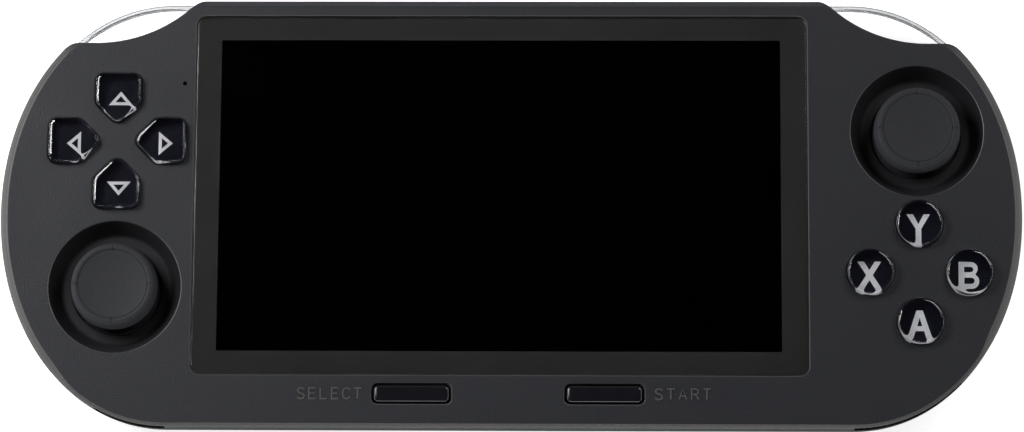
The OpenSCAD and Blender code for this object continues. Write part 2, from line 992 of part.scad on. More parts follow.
// the thumb cap: dish top, rounded rim, neck and the dome that closes the hole
module stick_cap(at) {
    inner_r = dome_r - dome_t;
    boss_r = shaft_r + 1.1;
    bore_r = shaft_r + 0.02;
    rim_r = cap_r - 1.6;
    low = cap_under - pivot_z;
    top = cap_top - pivot_z;
    neck_a = asin(neck_r / dome_r);
    boss_a = asin(boss_r / inner_r);
    steps = 6;
    hollow = [
        for (i = [0 : steps])
            let (a = dome_angle + (boss_a - dome_angle) * i / steps)
                inner_r * [sin(a), cos(a)]
    ];
    bore = [[boss_r, 4], [bore_r, 4], [bore_r, dome_r], [0, dome_r]];
    dish = [
        for (i = [0 : 4])
            let (r = rim_r * i / 4)
                [r, top - 0.9 + 0.9 * pow(r / rim_r, 2)]
    ];
    rim = [
        [cap_r - 0.9, top], [cap_r - 0.3, top - 0.35], [cap_r, top - 1],
        [cap_r - 0.15, low + 0.9], [cap_r - 0.9, low + 0.25], [cap_r - 2, low], [neck_r, low]
    ];
    skirt = [
        for (i = [0 : steps])
            let (a = neck_a + (dome_angle - neck_a) * i / steps)
                dome_r * [sin(a), cos(a)]
    ];
    at_pivot(at)
        rotate_extrude()
            polygon(concat(hollow, bore, dish, rim, skirt));
}

module left_stick_cap() {
    color("#2b2b2e")
        stick_cap(left_stick);
}

module right_stick_cap() {
    color("#2b2b2e")
        stick_cap(right_stick);
}

// the clear crescent: outer wall, web, pivot eye and switch finger
module shoulder_button(side) {
    pivot = [side * shoulder_pivot_x, shoulder_pivot_y];
    web_high = web_low + web_t;
    far = notch_end - 0.6;
    near = shoulder_pivot_x;
    x_span = side > 0 ? [near, far] : [-far, -near];
    wall_span = side > 0 ? [near - 2, far] : [-far, 2 - near];
    finger = side > 0 ? [finger_x - 1, finger_x + 1] : [-finger_x - 1, 1 - finger_x];
    difference() {
        union() {
            intersection() {
                difference() {
                    slab(outline(0.35), shoulder_low, shoulder_high);
                    slab(outline(0.35 + clear_wall), shoulder_low - 1, shoulder_high + 1);
                }
                notch(side, -0.4, shoulder_low - 1, shoulder_high + 1);
                block(wall_span, [notch_floor + 0.3, half_h], [0, body_t]);
            }
            intersection() {
                slab(outline(0.6), web_low, web_high);
                notch(side, web_depth, web_low - 1, web_high + 1);
                block(x_span, [0, half_h], [0, body_t]);
            }
            bar(pivot, eye_r, web_low, web_high);
            block(finger, [finger_y, finger_y + 3], [web_low, web_high]);
        }
        bar(pivot, shoulder_pin_r + run_gap, web_low - 1, web_high + 1);
    }
}

module left_shoulder_button() {
    color("#dfe4e8")
        shoulder_button(-1);
}

module right_shoulder_button() {
    color("#dfe4e8")
        shoulder_button(1);
}

module shoulder_pin(side) {
    bar([side * shoulder_pivot_x, shoulder_pivot_y], shoulder_pin_r, board_top, ceiling_z - 0.4);
}

module left_shoulder_pin() {
    color("#b0b0b4")
        shoulder_pin(-1);
}

module right_shoulder_pin() {
    color("#b0b0b4")
        shoulder_pin(1);
}

// the switch body, with a bore for its plunger
module shoulder_switch(side) {
    x = side * finger_x;
    difference() {
        block([x - 2.4, x + 2.4], [switch_face - 3.4, switch_face], [board_top, board_top + 3.2]);
        translate([x, switch_face + 1, web_low + web_t / 2])
            rotate([90, 0, 0])
                cylinder(r = 0.6 + run_gap, h = 2.4);
    }
}

module left_shoulder_switch() {
    color("#3a3a3e")
        shoulder_switch(-1);
}

module right_shoulder_switch() {
    color("#3a3a3e")
        shoulder_switch(1);
}

module shoulder_plunger(side) {
    translate([side * finger_x, finger_y - 0.1, web_low + web_t / 2])
        rotate([90, 0, 0])
            cylinder(r = 0.6, h = 2.2);
}

module left_shoulder_plunger() {
    color("#d0d0d0")
        shoulder_plunger(-1);
}

module right_shoulder_plunger() {
    color("#d0d0d0")
        shoulder_plunger(1);
}

module power_switch() {
    y = edge_wall_in - 1.6;
    color("#9a9a9e")
        block([power_x - 4.5, power_x + 4.5 + power_travel], [y - 3.4, y], [edge_z - 1.4, board_bottom]);
}

module power_knob() {
    y = edge_wall_in - 1.4;
    color("#2b2b2e") {
        block([power_x - 2.5, power_x + 2.5], [y, knob_out], [edge_z - 0.9, edge_z + 0.9]);
        block([power_x - 3.8, power_x + 3.8], [y, y + 0.7], [edge_z - 1.35, edge_z + 1.35]);
    }
}

module volume_switches() {
    y = edge_wall_in - 2.6;
    color("#9a9a9e")
    for (x = [volume_x, volume_x + volume_pitch])
        difference() {
            block([x - 2.2, x + 2.2], [y - 3, y], [edge_z - 1.4, board_bottom]);
            block([x - 1, x + 1], [y - 1.2, y + 1], [edge_z - 0.8, edge_z + 0.8]);
        }
}

module volume_key(x) {
    y = edge_wall_in - 1.5;
    block([x - 3.5, x + 3.5], [y, knob_out], [edge_z - 1, edge_z + 1]);
    block([x - 4.1, x + 4.1], [y, y + 0.7], [edge_z - 1.4, edge_z + 1.4]);
    block([x - 0.8, x + 0.8], [y - 1.4, y + eps], [edge_z - 0.6, edge_z + 0.6]);
}

module volume_down_key() {
    color("#2b2b2e")
        volume_key(volume_x);
}

module volume_up_key() {
    color("#2b2b2e")
        volume_key(volume_x + volume_pitch);
}

module usb_port() {
    z = [board_bottom - 2.9, board_bottom];
    y = wall_face(z[0]);
    color("#b4b4b8") {
        difference() {
            block([usb_x - 3.9, usb_x + 3.9], [y - 5.6, y], z);
            block([usb_x - 3.5, usb_x + 3.5], [y - 5, y + 1], [z[0] + 0.4, z[1] - 0.6]);
        }
        block([usb_x - 2, usb_x + 2], [y - 5.2, y - 0.8], [z[0] + 1.2, z[0] + 1.7]);
    }
}

module headphone_jack() {
    back = jack_mouth - jack_length;
    face = wall_face(jack_low);
    color("#2f2f33")
    difference() {
        union() {
            block([jack_x - 3.2, jack_x + 3.2], [back - 1, face], [jack_low, board_bottom]);
            translate([jack_x, face - 1, jack_z])
                rotate([-90, 0, 0])
                    cylinder(r = jack_r + 0.6, h = jack_mouth - face + 1);
        }
        translate([jack_x, back, jack_z])
            rotate([-90, 0, 0])
                cylinder(r = jack_r, h = jack_length + 1);
    }
}

module card_slot() {
    z = board_bottom - 1.8;
    y = wall_face(z);
    color("#b4b4b8")
    difference() {
        block([card_x - 6.6, card_x + 6.6], [y - 14, y], [z, board_bottom]);
        block([card_x - 5.7, card_x + 5.7], [y - 12.5, y + 1], [z + 0.4, z + 1.4]);
    }
}

front_shell();
rear_shell();
case_screws();
board_screws();
display_window();
window_adhesive();
lcd_gasket();
lcd_panel();
lcd_tray();
display_ribbon();
main_board();
board_chips();
battery();
left_speaker();
right_speaker();
microphone();
dpad_up();
dpad_down();
dpad_left();
dpad_right();
dpad_membrane();
action_a();
action_b();
action_x_key();
action_y_key();
action_membrane();
select_key();
start_key();
menu_membrane();
left_stick_board();
left_stick_can();
left_stick_sensors();
left_stick_ring();
left_stick_yoke();
left_stick_shaft();
left_stick_cap();
right_stick_board();
right_stick_can();
right_stick_sensors();
right_stick_ring();
right_stick_yoke();
right_stick_shaft();
right_stick_cap();
left_shoulder_button();
left_shoulder_pin();
left_shoulder_switch();
left_shoulder_plunger();
right_shoulder_button();
right_shoulder_pin();
right_shoulder_switch();
right_shoulder_plunger();
power_switch();
power_knob();
volume_switches();
volume_up_key();
volume_down_key();
usb_port();
headphone_jack();
card_slot();
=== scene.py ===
"""Looks of a handheld game console lying on its back: moulded casing, clear window over a black
display, clear keys with printed legends, rubber thumb sticks and clear shoulder buttons.

Every shape is worked out in millimetres with numpy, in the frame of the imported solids, and goes into
its mesh in metres. Angles are in radians unless a name says degrees.
"""

import math

import bmesh
import bpy
import numpy as np
from mathutils import Matrix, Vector
from mathutils.geometry import delaunay_2d_cdt


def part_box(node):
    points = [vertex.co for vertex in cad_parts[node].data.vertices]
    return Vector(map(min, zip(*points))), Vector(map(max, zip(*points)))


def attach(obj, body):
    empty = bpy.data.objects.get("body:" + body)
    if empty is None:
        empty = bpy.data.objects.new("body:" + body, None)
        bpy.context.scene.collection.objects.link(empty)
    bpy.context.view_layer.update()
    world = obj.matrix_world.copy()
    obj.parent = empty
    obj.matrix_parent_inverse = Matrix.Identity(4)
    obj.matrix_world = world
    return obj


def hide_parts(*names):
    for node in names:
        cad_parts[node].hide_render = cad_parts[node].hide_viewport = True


MM = 0.001
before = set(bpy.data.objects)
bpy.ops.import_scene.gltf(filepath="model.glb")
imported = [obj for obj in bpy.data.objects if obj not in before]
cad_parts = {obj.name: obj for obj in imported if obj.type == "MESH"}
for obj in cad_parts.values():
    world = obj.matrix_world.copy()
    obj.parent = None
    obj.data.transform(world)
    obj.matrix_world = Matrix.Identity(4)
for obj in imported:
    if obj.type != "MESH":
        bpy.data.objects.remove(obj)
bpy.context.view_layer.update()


def span(node):
    """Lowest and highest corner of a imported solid, in millimetres."""
    return np.array(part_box(node)) / MM


# Casing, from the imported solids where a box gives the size
SHELL_LOW, SHELL_HIGH = span("front_shell")
HALF_W, HALF_H, FACE = SHELL_HIGH
PARTING = SHELL_LOW[2]
CEILING = FACE - 2.0
END_W, END_POWER = 34.5, 2.05
END_X = HALF_W - END_W
CROWN, BACK_ROUND = 14.5, 8.5
# Hollow shoulders: circle, level part, and the opening for the clear button
HOLLOW_R, HOLLOW_X, HOLLOW_FLOOR = 29.0, HALF_W - 18.8, HALF_H - 9.05
LIP, LEDGE = 15.3, 8.0
OPEN_IN, OPEN_OUT = HALF_W - 40.2, HALF_W - 13.45
CORNER_SOFT = 1.6
# Sound slots in the lower corners: inner end, outer end on the left and on the right, lower edge
SLOT_IN, SLOT_LEFT, SLOT_RIGHT, SLOT_LOW = HALF_W - 34.4, HALF_W - 20.2, HALF_W - 12.8, 14.9
# Top edge: middle height of its knob and keys, and half width and lower edge of the stretch with openings
EDGE_Z, PORTS_X, PORTS_LOW = 8.1, 56.0, 3.2
# Fine groove where the shells meet, and how far the edges of the shoulder openings turn in
GROOVE_DEEP, GROOVE_HALF, TURN_IN = 0.18, 0.2, 2.2
# Rear screws
SCREW_AT = ((-92.0, -0.5), (92.0, -0.5), (-65.0, -27.5), (65.0, -27.5))
SCREW_HOLE_R, SCREW_SEAT = 2.1, 4.0
# Display
PANE_LOW, PANE_HIGH = span("display_window")
PANE_MID = (PANE_LOW + PANE_HIGH) / 2
PANE_SIZE = PANE_HIGH - PANE_LOW
PICTURE_SIZE, PICTURE_LEFT = (114.2, 64.4), 0.15
# Controls
KEY_GAP = 0.25
KEY_TOP = span("dpad_up")[1][2]
PAD_AT = np.array([-80.1, 14.5])
PAD_W, PAD_REACH, PAD_POINT = 9.3, 14.0, 3.2
ACTION_R = 4.65
KEY_PRESS, KEY_CROWN = 0.9, 0.045
# The keys are hollow above the keypad domes, so that a pressed key clears them
PRINT_Z = span("dpad_membrane")[1][2] + KEY_PRESS + 0.1
# Legends: how far they lie above the print, and how far off the middles of the keys
LEGEND_UP, ARROW_OFF, LETTER_OFF = 0.03, np.array([0.36, -0.41]), np.array([-0.16, -0.46])
STICK_AT = {"left": np.array([-80.0, -15.7]), "right": np.array([82.6, 16.8])}
PIVOT_Z = FACE - 11.0
MENU_SIZE, MENU_RECESS, RECESS_DEEP = (15.2, 3.4), (16.2, 4.3), 0.5
# Raised words: height of the letters, stroke, and how far they stand out
WORD_TALL, WORD_STROKE, WORD_OUT = 2.15, 0.42, 0.2
MIC_AT = (-66.6, 26.5)


# Meshes


def grid(rows, wrap=False, flip=False, leave=None):
    """A sheet through rows of points: each cell between two rows and two columns is one quad.
    wrap joins the last column to the first, and leave marks cells that stay open."""
    rows = np.asarray(rows, float)
    m, n = rows.shape[:2]
    i = np.arange(m - 1)[:, None]
    j = np.arange(n if wrap else n - 1)[None, :]
    k = (j + 1) % n
    cells = np.stack(np.broadcast_arrays(i * n + j, i * n + k, (i + 1) * n + k, (i + 1) * n + j), -1)
    quads = cells.reshape(-1, 4) if leave is None else cells[~leave]
    return rows.reshape(-1, 3), quads[:, ::-1] if flip else quads


def unit(v):
    """Vectors made one long."""
    return v / np.linalg.norm(v, axis=-1, keepdims=True)


def border(rows):
    """The loop round a sheet of points, which begins with its first row."""
    return np.concatenate([rows[0], rows[1:-1, -1], rows[-1, ::-1], rows[1:-1, 0][::-1]])


def inside(points, loop):
    """Which points lie in a closed loop: a line to the right crosses the loop an odd number of times."""
    x, y = points[:, 0, None], points[:, 1, None]
    a, b = loop, np.roll(loop, -1, 0)
    level = (a[:, 1] > y) != (b[:, 1] > y)
    rise = np.where(b[:, 1] == a[:, 1], 1.0, b[:, 1] - a[:, 1])
    at = a[:, 0] + (y - a[:, 1]) / rise * (b[:, 0] - a[:, 0])
    return np.sum(level & (x < at), 1) % 2 == 1


def fill(loops, spare=None):
    """Flat triangles inside the first loop and outside the others, by constrained Delaunay; spare
    points are used as further corners. Returns points (x, y) and triangles that face up."""
    starts = np.cumsum([0] + [len(loop) for loop in loops])
    rings = [np.stack([np.arange(len(p)), (np.arange(len(p)) + 1) % len(p)], 1) for p in loops]
    edges = np.concatenate([start + ring for start, ring in zip(starts, rings)])
    points = np.concatenate(list(loops) + ([spare] if spare is not None else []))
    found, _, faces, *_ = delaunay_2d_cdt(points.tolist(), edges.tolist(), [], 0, 1e-6)
    found, faces = np.array(found), np.array(faces)
    middle = found[faces].mean(1)
    keep = inside(middle, loops[0])
    for loop in loops[1:]:
        keep &= ~inside(middle, loop)
    faces = faces[keep]
    a, b, c = (found[faces[:, i]] for i in range(3))
    turn = (b - a)[:, 0] * (c - a)[:, 1] - (b - a)[:, 1] * (c - a)[:, 0]
    faces[turn < 0] = faces[turn < 0][:, ::-1]
    return found, faces


def level_fill(loops, z, down=False):
    """A flat sheet at one height between loops, facing up or down."""
    points, faces = fill([np.asarray(loop)[:, :2] for loop in loops])
    return lift(points, z), faces[:, ::-1] if down else faces


def lift(loop, z):
    """Points of a plan at a height, which is one number or one for each point."""
    loop = np.asarray(loop, float)
    return np.concatenate([loop[:, :2], np.broadcast_to(z, len(loop))[:, None]], 1)


def new_object(name, data):
    """An object in the scene, at the origin."""
    made = bpy.data.objects.new(name, data)
    bpy.context.scene.collection.objects.link(made)
    return made


def piece(name, parts, finishes, body, replaces=(), sharp_degrees=38, closed=False):
    """One object from parts, each (points in mm, faces, number of its finish, and where it has them the
    wear and painted highlight of each point). Points without a face are left out, equal points are joined,
    edges sharper than the angle stay crisp, and a closed shape has its faces turned outwards."""
    points = np.concatenate([p[0] for p in parts]) * MM
    wear = np.concatenate([p[3] if len(p) > 3 else np.zeros(len(p[0])) for p in parts])
    starts = np.cumsum([0] + [len(p[0]) for p in parts])
    corners = [np.asarray(p[1]) + start for start, p in zip(starts, parts)]
    used = np.zeros(len(points), bool)
    used[np.concatenate([c.ravel() for c in corners])] = True
    number = np.cumsum(used) - 1
    faces = [face for c in corners for face in number[c].tolist()]
    mesh = bpy.data.meshes.new(name)
    mesh.from_pydata(points[used].tolist(), [], faces)
    mesh.polygons.foreach_set("material_index", np.concatenate([np.full(len(p[1]), p[2]) for p in parts]))
    mesh.polygons.foreach_set("use_smooth", np.ones(len(faces), bool))
    mesh.attributes.new("wear", "FLOAT", "POINT").data.foreach_set("value", wear[used])
    work = bmesh.new()
    work.from_mesh(mesh)
    bmesh.ops.remove_doubles(work, verts=work.verts, dist=1e-6)
    if closed:
        bmesh.ops.recalc_face_normals(work, faces=work.faces)
    work.to_mesh(mesh)
    work.free()
    mesh.set_sharp_from_angle(angle=math.radians(sharp_degrees))
    for look in finishes:
        mesh.materials.append(look)
    made = new_object(name, mesh)
    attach(made, body)
    if replaces:
        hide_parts(*replaces)


# Outlines


def circle(at, r, n=64):
    """A circle, anticlockwise."""
    a = np.linspace(0, 2 * np.pi, n, endpoint=False)
    return np.asarray(at) + r * np.stack([np.cos(a), np.sin(a)], 1)


def rounded_polygon(corners, r, n=7):
    """A convex polygon, anticlockwise, with an arc of n points at each corner that touches both sides."""
    p = np.asarray(corners, float)
    u, v = unit(np.roll(p, 1, 0) - p), unit(np.roll(p, -1, 0) - p)
    half = np.arccos(np.sum(u * v, 1)) / 2
    centre = p + unit(u + v) * (r / np.sin(half))[:, None]
    first = p + u * (r / np.tan(half))[:, None] - centre
    a = np.arctan2(first[:, 1], first[:, 0])[:, None] + (np.pi - 2 * half)[:, None] * np.linspace(0, 1, n)
    return (centre[:, None] + r * np.stack([np.cos(a), np.sin(a)], -1)).reshape(-1, 2)


def rounded_box(at, w, h, r, n=7):
    """A rectangle with round corners about a middle, anticlockwise."""
    x, y = w / 2, h / 2
    return np.asarray(at)[:2] + rounded_polygon([[x, y], [-x, y], [-x, -y], [x, -y]], r, n)


def on_pad(plan, turn_degrees):
    """A plan drawn for the upper direction key, turned about the pad centre."""
    c, s = math.cos(math.radians(turn_degrees)), math.sin(math.radians(turn_degrees))
    return PAD_AT + plan @ np.array([[c, s], [-s, c]])


def pad_plate(inset, turn_degrees):
    """The plan of one direction key: a square end outwards and a right-angled point to the pad centre,
    drawn in by an inset and turned about the pad centre."""
    w, o, t = PAD_W / 2 - inset, PAD_REACH - inset, PAD_POINT + inset * math.sqrt(2)
    plan = rounded_polygon([[w, o], [-w, o], [-w, t + w], [0, t], [w, t + w]], max(1.8 - inset, 0.3), 9)
    return on_pad(plan, turn_degrees)


def signed_power(v, p):
    """A power that keeps the sign."""
    return np.sign(v) * np.abs(v) ** p


def end_turn(x):
    """The turn of the rounded right end at which the outline has that x."""
    return np.arccos(((x - END_X) / END_W) ** (END_POWER / 2))


def outline_columns():
    """The columns of the casing, anticlockwise from the bottom right: for each the centre of its end
    and the two factors of its superellipse, with columns where an opening starts and stops."""
    even = np.linspace(-np.pi / 2, np.pi / 2, 241)
    slot_ends = -end_turn(np.array([SLOT_IN, SLOT_LEFT, SLOT_RIGHT]))
    turns = np.unique(np.concatenate([even, [end_turn(OPEN_OUT)], slot_ends]))
    across = np.linspace(END_X, -END_X, 233)[1:-1]
    across = np.unique(np.concatenate([across, [OPEN_IN, -OPEN_IN, PORTS_X, -PORTS_X]]))[::-1]
    below = np.linspace(-END_X, END_X, 70)[1:-1]
    level = np.full(len(across), np.pi / 2), np.full(len(below), -np.pi / 2)
    turn = np.concatenate([turns, level[0], np.pi - turns[::-1], level[1]])
    centre = np.concatenate([np.full(len(turns), END_X), across, np.full(len(turns), -END_X), below])
    return centre, signed_power(np.cos(turn), 2 / END_POWER), signed_power(np.sin(turn), 2 / END_POWER)


COLUMN_X, COLUMN_C, COLUMN_S = outline_columns()
COLUMN_C[np.abs(COLUMN_C) < 1e-6] = 0


def hollow_height(x):
    """Height of the hollow shoulder at an x: the lower quarter of a circle, then level to the end."""
    a = np.clip(HOLLOW_X - np.abs(x), 0, HOLLOW_R)
    return HOLLOW_FLOOR + HOLLOW_R - np.sqrt(HOLLOW_R**2 - a**2)


def soft_min(a, b, soft=CORNER_SOFT):
    """The lower of two heights with a rounded change, and the share of the first one."""
    share = np.clip(0.5 + 0.5 * (b - a) / soft, 0, 1)
    return b * (1 - share) + a * share - soft * share * (1 - share), share


def outline(inset, hollow_inset=0.0):
    """The casing's outline drawn in by an inset: straight edges, ends with both half axes shortened,
    and the hollow shoulders lowered by their own inset."""
    x = COLUMN_X + (END_W - inset) * COLUMN_C
    return np.stack([x, soft_min((HALF_H - inset) * COLUMN_S, hollow_height(x) - hollow_inset)[0]], 1)


def side_inset(z):
    """How far the side has come in at a height: a quarter ellipse below the crown."""
    low = np.clip((CROWN - np.asarray(z, float)) / CROWN, 0, 1)
    return BACK_ROUND * (1 - np.sqrt(1 - low**2))


def parting_inset(z):
    """The side with a fine V-shaped groove where the two shells meet."""
    away = np.abs(np.asarray(z, float) - PARTING)
    return side_inset(z) + GROOVE_DEEP * np.clip(1 - away / GROOVE_HALF, 0, 1)


def column_at(x):
    """The column of the upper half whose x is nearest."""
    plan = COLUMN_X + END_W * COLUMN_C
    return int(np.argmin(np.abs(plan - x) + 1000 * (COLUMN_S < 0)))


RIGHT_OUT, RIGHT_IN, LEFT_IN, LEFT_OUT = (column_at(x) for x in (OPEN_OUT, OPEN_IN, -OPEN_IN, -OPEN_OUT))
ALL_COLUMNS = np.arange(len(COLUMN_X))
LOWER_RUN = np.concatenate([ALL_COLUMNS[LEFT_OUT:], ALL_COLUMNS[: RIGHT_OUT + 1]])
UPPER_RUN = ALL_COLUMNS[RIGHT_IN : LEFT_IN + 1]
OPEN_RUNS = (ALL_COLUMNS[RIGHT_OUT : RIGHT_IN + 1], ALL_COLUMNS[LEFT_IN : LEFT_OUT + 1])


# Finishes


def linear(hex_colour):
    """An sRGB hex colour as linear light, with full cover."""
    c = np.array([int(hex_colour[i : i + 2], 16) for i in (1, 3, 5)]) / 255
    return (*np.where(c <= 0.04045, c / 12.92, ((c + 0.055) / 1.055) ** 2.4).tolist(), 1.0)


def add(tree, kind, inputs=None, **settings):
    """Adds one node: settings are its own properties, inputs its sockets' values or (node, output) links."""
    new = tree.nodes.new(kind)
    for name, value in settings.items():
        setattr(new, name, value)
    for socket, value in (inputs or {}).items():
        if isinstance(value, tuple) and isinstance(value[0], bpy.types.Node):
            tree.links.new(value[0].outputs[value[1]], new.inputs[socket])
        else:
            new.inputs[socket].default_value = value
    return new


def bare_tree(made):
    """The node tree of a material or world, emptied."""
    made.use_nodes = True
    made.node_tree.nodes.clear()
    return made.node_tree


# Width of a patch of handling, and how much smoother a worn edge is
PATCH_MM, WORN_GLOSS = 14, 0.3


def finish(name, dark, light, rough, grain_mm, relief_mm, stretch=(1, 1, 1), worn_and_highlight_tone=None, **sockets):
    """A finish between two close tones: a grain of a real size stirs height and colour, and wide patches
    of handling change the gloss a little. stretch draws the grain out along an axis. Where a piece's wear
    and highlight is 1 it takes the paler tone, painted for wear and a highlight, and a smoother face."""
    made = bpy.data.materials.new(name)
    tree = bare_tree(made)
    place = add(tree, "ShaderNodeTexCoord")
    drawn = add(tree, "ShaderNodeMapping", {"Vector": (place, "Object"), "Scale": stretch})
    fine = {"Vector": (drawn, "Vector"), "Scale": 1 / (grain_mm * MM), "Detail": 2.0}
    grain = add(tree, "ShaderNodeTexNoise", fine)
    broad = {"Vector": (place, "Object"), "Scale": 1 / (PATCH_MM * MM), "Detail": 3.0}
    patch = add(tree, "ShaderNodeTexNoise", broad)
    tones = {"Fac": (grain, "Fac"), "Color1": linear(dark), "Color2": linear(light)}
    tone = add(tree, "ShaderNodeMixRGB", tones)
    limits = {"From Min": 0.3, "From Max": 0.7, "To Min": rough * 0.93, "To Max": rough * 1.07}
    gloss = add(tree, "ShaderNodeMapRange", {"Value": (patch, "Fac"), **limits})
    colour, dull = (tone, "Color"), (gloss, "Result")
    if worn_and_highlight_tone:
        wear = add(tree, "ShaderNodeAttribute", attribute_name="wear")
        tones = {"Fac": (wear, "Fac"), "Color1": colour, "Color2": linear(worn_and_highlight_tone)}
        paler = add(tree, "ShaderNodeMixRGB", tones)
        less = {0: (wear, "Fac"), 1: -WORN_GLOSS, 2: dull}
        smooth = add(tree, "ShaderNodeMath", less, operation="MULTIPLY_ADD")
        colour, dull = (paler, "Color"), (smooth, "Value")
    height = {"Height": (grain, "Fac"), "Distance": relief_mm * MM, "Strength": 1.0}
    relief = add(tree, "ShaderNodeBump", height)
    values = {key.replace("_", " "): value for key, value in sockets.items()}
    surface = {"Base Color": colour, "Roughness": dull, "Normal": (relief, "Normal"), **values}
    shader = add(tree, "ShaderNodeBsdfPrincipled", surface)
    add(tree, "ShaderNodeOutputMaterial", {"Surface": (shader, "BSDF")})
    return made


# Spark-eroded mould texture on black ABS: a fine matt speckle that greys towards a lamp; its paler
# worn tone paints highlights along edges and rims as well as wear
SHELL = finish(
    "moulded_black_abs", "#121317", "#2c2d33", 0.55, 0.36, 0.07, worn_and_highlight_tone="#686764", Specular_IOR_Level=0.3
)
# Inside of the stick dishes: black ABS set a deeper black than the casing, which is painted shade of the deep
# dish
DISH_SHADE_BLACK = finish("dish_black_abs_painted_shade", "#1b1b1e", "#242427", 0.6, 0.6, 0.004, Specular_IOR_Level=0.2)
# Cast acrylic cover: a clean mirror of the room over black
PANE = finish("clear_cast_acrylic", "#fbfbfb", "#ffffff", 0.015, 4.0, 0.0, Transmission_Weight=1.0, IOR=1.49)
# Screen print behind the cover: even dark grey, dead flat
BORDER = finish("dark_grey_screen_print", "#292929", "#2f2f2f", 0.8, 0.2, 0.001)
# Display switched off: black polariser film with a satin gloss
DISPLAY = finish("black_polariser_film", "#000000", "#020202", 0.12, 0.4, 0.0, Specular_IOR_Level=0.1)
# Light passes through polycarbonate and bends strongly in it
POLYCARBONATE = {"Transmission_Weight": 1.0, "IOR": 1.58}
# Injection-moulded clear polycarbonate: bright edges, faint flow marks
CLEAR = finish("clear_polycarbonate", "#fafbfc", "#ffffff", 0.02, 3.0, 0.004, **POLYCARBONATE)
# The crescents' upright edge: the same polycarbonate with a fine satin from handling, tinted grey as painted
# shade for the dim look of the clear wall end-on
SHADED_SATIN = finish("satin_polycarbonate_painted_shade", "#a6a9ad", "#b6b9bd", 0.06, 1.2, 0.004, **POLYCARBONATE)
# Ink printed under the clear keys: near-black navy
NAVY = finish("navy_pad_print", "#14151e", "#1c1d29", 0.45, 0.25, 0.0, Specular_IOR_Level=0.05)
# Legends in silver ink: fine flakes in a pale binder
SILVER = finish("silver_pad_print", "#ececf2", "#fcfcff", 0.5, 0.12, 0.0, Specular_IOR_Level=0.05)
# Menu keys: polished black ABS
GLOSS = finish("polished_black_abs", "#141418", "#1b1b20", 0.1, 1.5, 0.002)
# Thumb caps: soft-touch rubber, a dull bloom over black
RUBBER = finish("soft_touch_rubber", "#1c1d20", "#2f3035", 0.7, 0.3, 0.04, Specular_IOR_Level=0.3)
# Keypads: cast silicone, slightly see-through grey
SILICONE = finish("cast_silicone", "#5c5d60", "#6a6b6e", 0.55, 0.5, 0.01, Subsurface_Weight=0.2)
# Acetal bearings: waxy white
ACETAL = finish("moulded_acetal", "#b9b9b2", "#c9c9c2", 0.4, 0.6, 0.004, Subsurface_Weight=0.1)
# Stamped and drawn steel: fine lines along the strip
STEEL = finish("stamped_steel", "#8a8c90", "#b4b6ba", 0.34, 0.12, 0.002, stretch=(0.08, 1, 1), Metallic=1.0)
# Resistive sensors: blue filled resin
SENSOR = finish("blue_resin", "#1d3f7a", "#25508f", 0.45, 0.4, 0.004)
# Printed board: green solder mask over weave
BOARD = finish("green_solder_mask", "#0d3a22", "#14502f", 0.35, 0.6, 0.006, Coat_Weight=0.4)
# Chips: dark filled epoxy with a lasered top
EPOXY = finish("black_filled_epoxy", "#17171a", "#212125", 0.6, 0.15, 0.008)
# Battery: aluminised pouch film
POUCH = finish("aluminised_pouch_film", "#b2b4b8", "#d0d2d6", 0.3, 2.5, 0.04, Metallic=0.9)
# Adhesive and gasket foam: open black cells
FOAM = finish("black_cell_foam", "#101012", "#1c1c1f", 0.9, 0.3, 0.05)
# Flexible print: amber polyimide film
AMBER = finish("polyimide_film", "#8a5312", "#a5661c", 0.3, 0.8, 0.003, Coat_Weight=0.3)
# Speaker cones: pressed black paper
PAPER = finish("pressed_black_paper", "#151517", "#242427", 0.8, 0.2, 0.02)

SIDES = ("left", "right")
NODE_FINISH = {
    DISPLAY: ["lcd_panel"],
    STEEL: ["lcd_tray", "case_screws", "board_screws", "microphone"]
    + ["usb_port", "card_slot", "volume_switches"]
    + [side + part for side in SIDES for part in ("_stick_can", "_shoulder_pin", "_shoulder_switch")],
    FOAM: ["window_adhesive", "lcd_gasket"],
    AMBER: ["display_ribbon"],
    BOARD: ["main_board", "left_stick_board", "right_stick_board"],
    EPOXY: ["board_chips", "headphone_jack", "power_switch"],
    POUCH: ["battery"],
    PAPER: ["left_speaker", "right_speaker"],
    SILICONE: ["dpad_membrane", "action_membrane", "menu_membrane"],
    SENSOR: ["left_stick_sensors", "right_stick_sensors"],
    ACETAL: [side + "_stick_" + part for side in SIDES for part in ("ring", "yoke", "shaft")]
    + ["left_shoulder_plunger", "right_shoulder_plunger"],
}
for look, names in NODE_FINISH.items():
    for name in names:
        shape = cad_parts[name].data
        shape.materials.clear()
        shape.materials.append(look)


# Casing


def rim(loop_at, depth, r=0.3, lead=0.1):
    """The edge of a hole in the face: a flat lead, a quarter-round of radius r, and a wall down to a
    depth. loop_at(o) gives the hole's outline widened by o."""
    a = np.linspace(0, np.pi / 2, 6)
    wide = np.concatenate([[r + lead], r * (1 - np.sin(a)), [0]])
    down = np.concatenate([[0], r * (1 - np.cos(a)), [depth]])
    return np.array([lift(loop_at(o), FACE - d) for o, d in zip(wide, down)])


# How far the rows of a rim, and of the edge of a dish, take the paler tone of wear and painted highlight
RIM_WEAR_AND_HIGHLIGHT = (0, 0, 0.6, 1, 1, 0.6)
DISH_WEAR_AND_HIGHLIGHT = (0, 0, 1, 1, 1)


def wear_and_highlight_by_row(rows, marks, strength=1.0):
    """Wear and painted highlight of each point of a sheet: one mark for each of its first rows, times a
    strength, then none.
    """
    wear = np.zeros(rows.shape[:2])
    wear[: len(marks)] = np.asarray(marks)[:, None] * strength
    return wear.ravel()


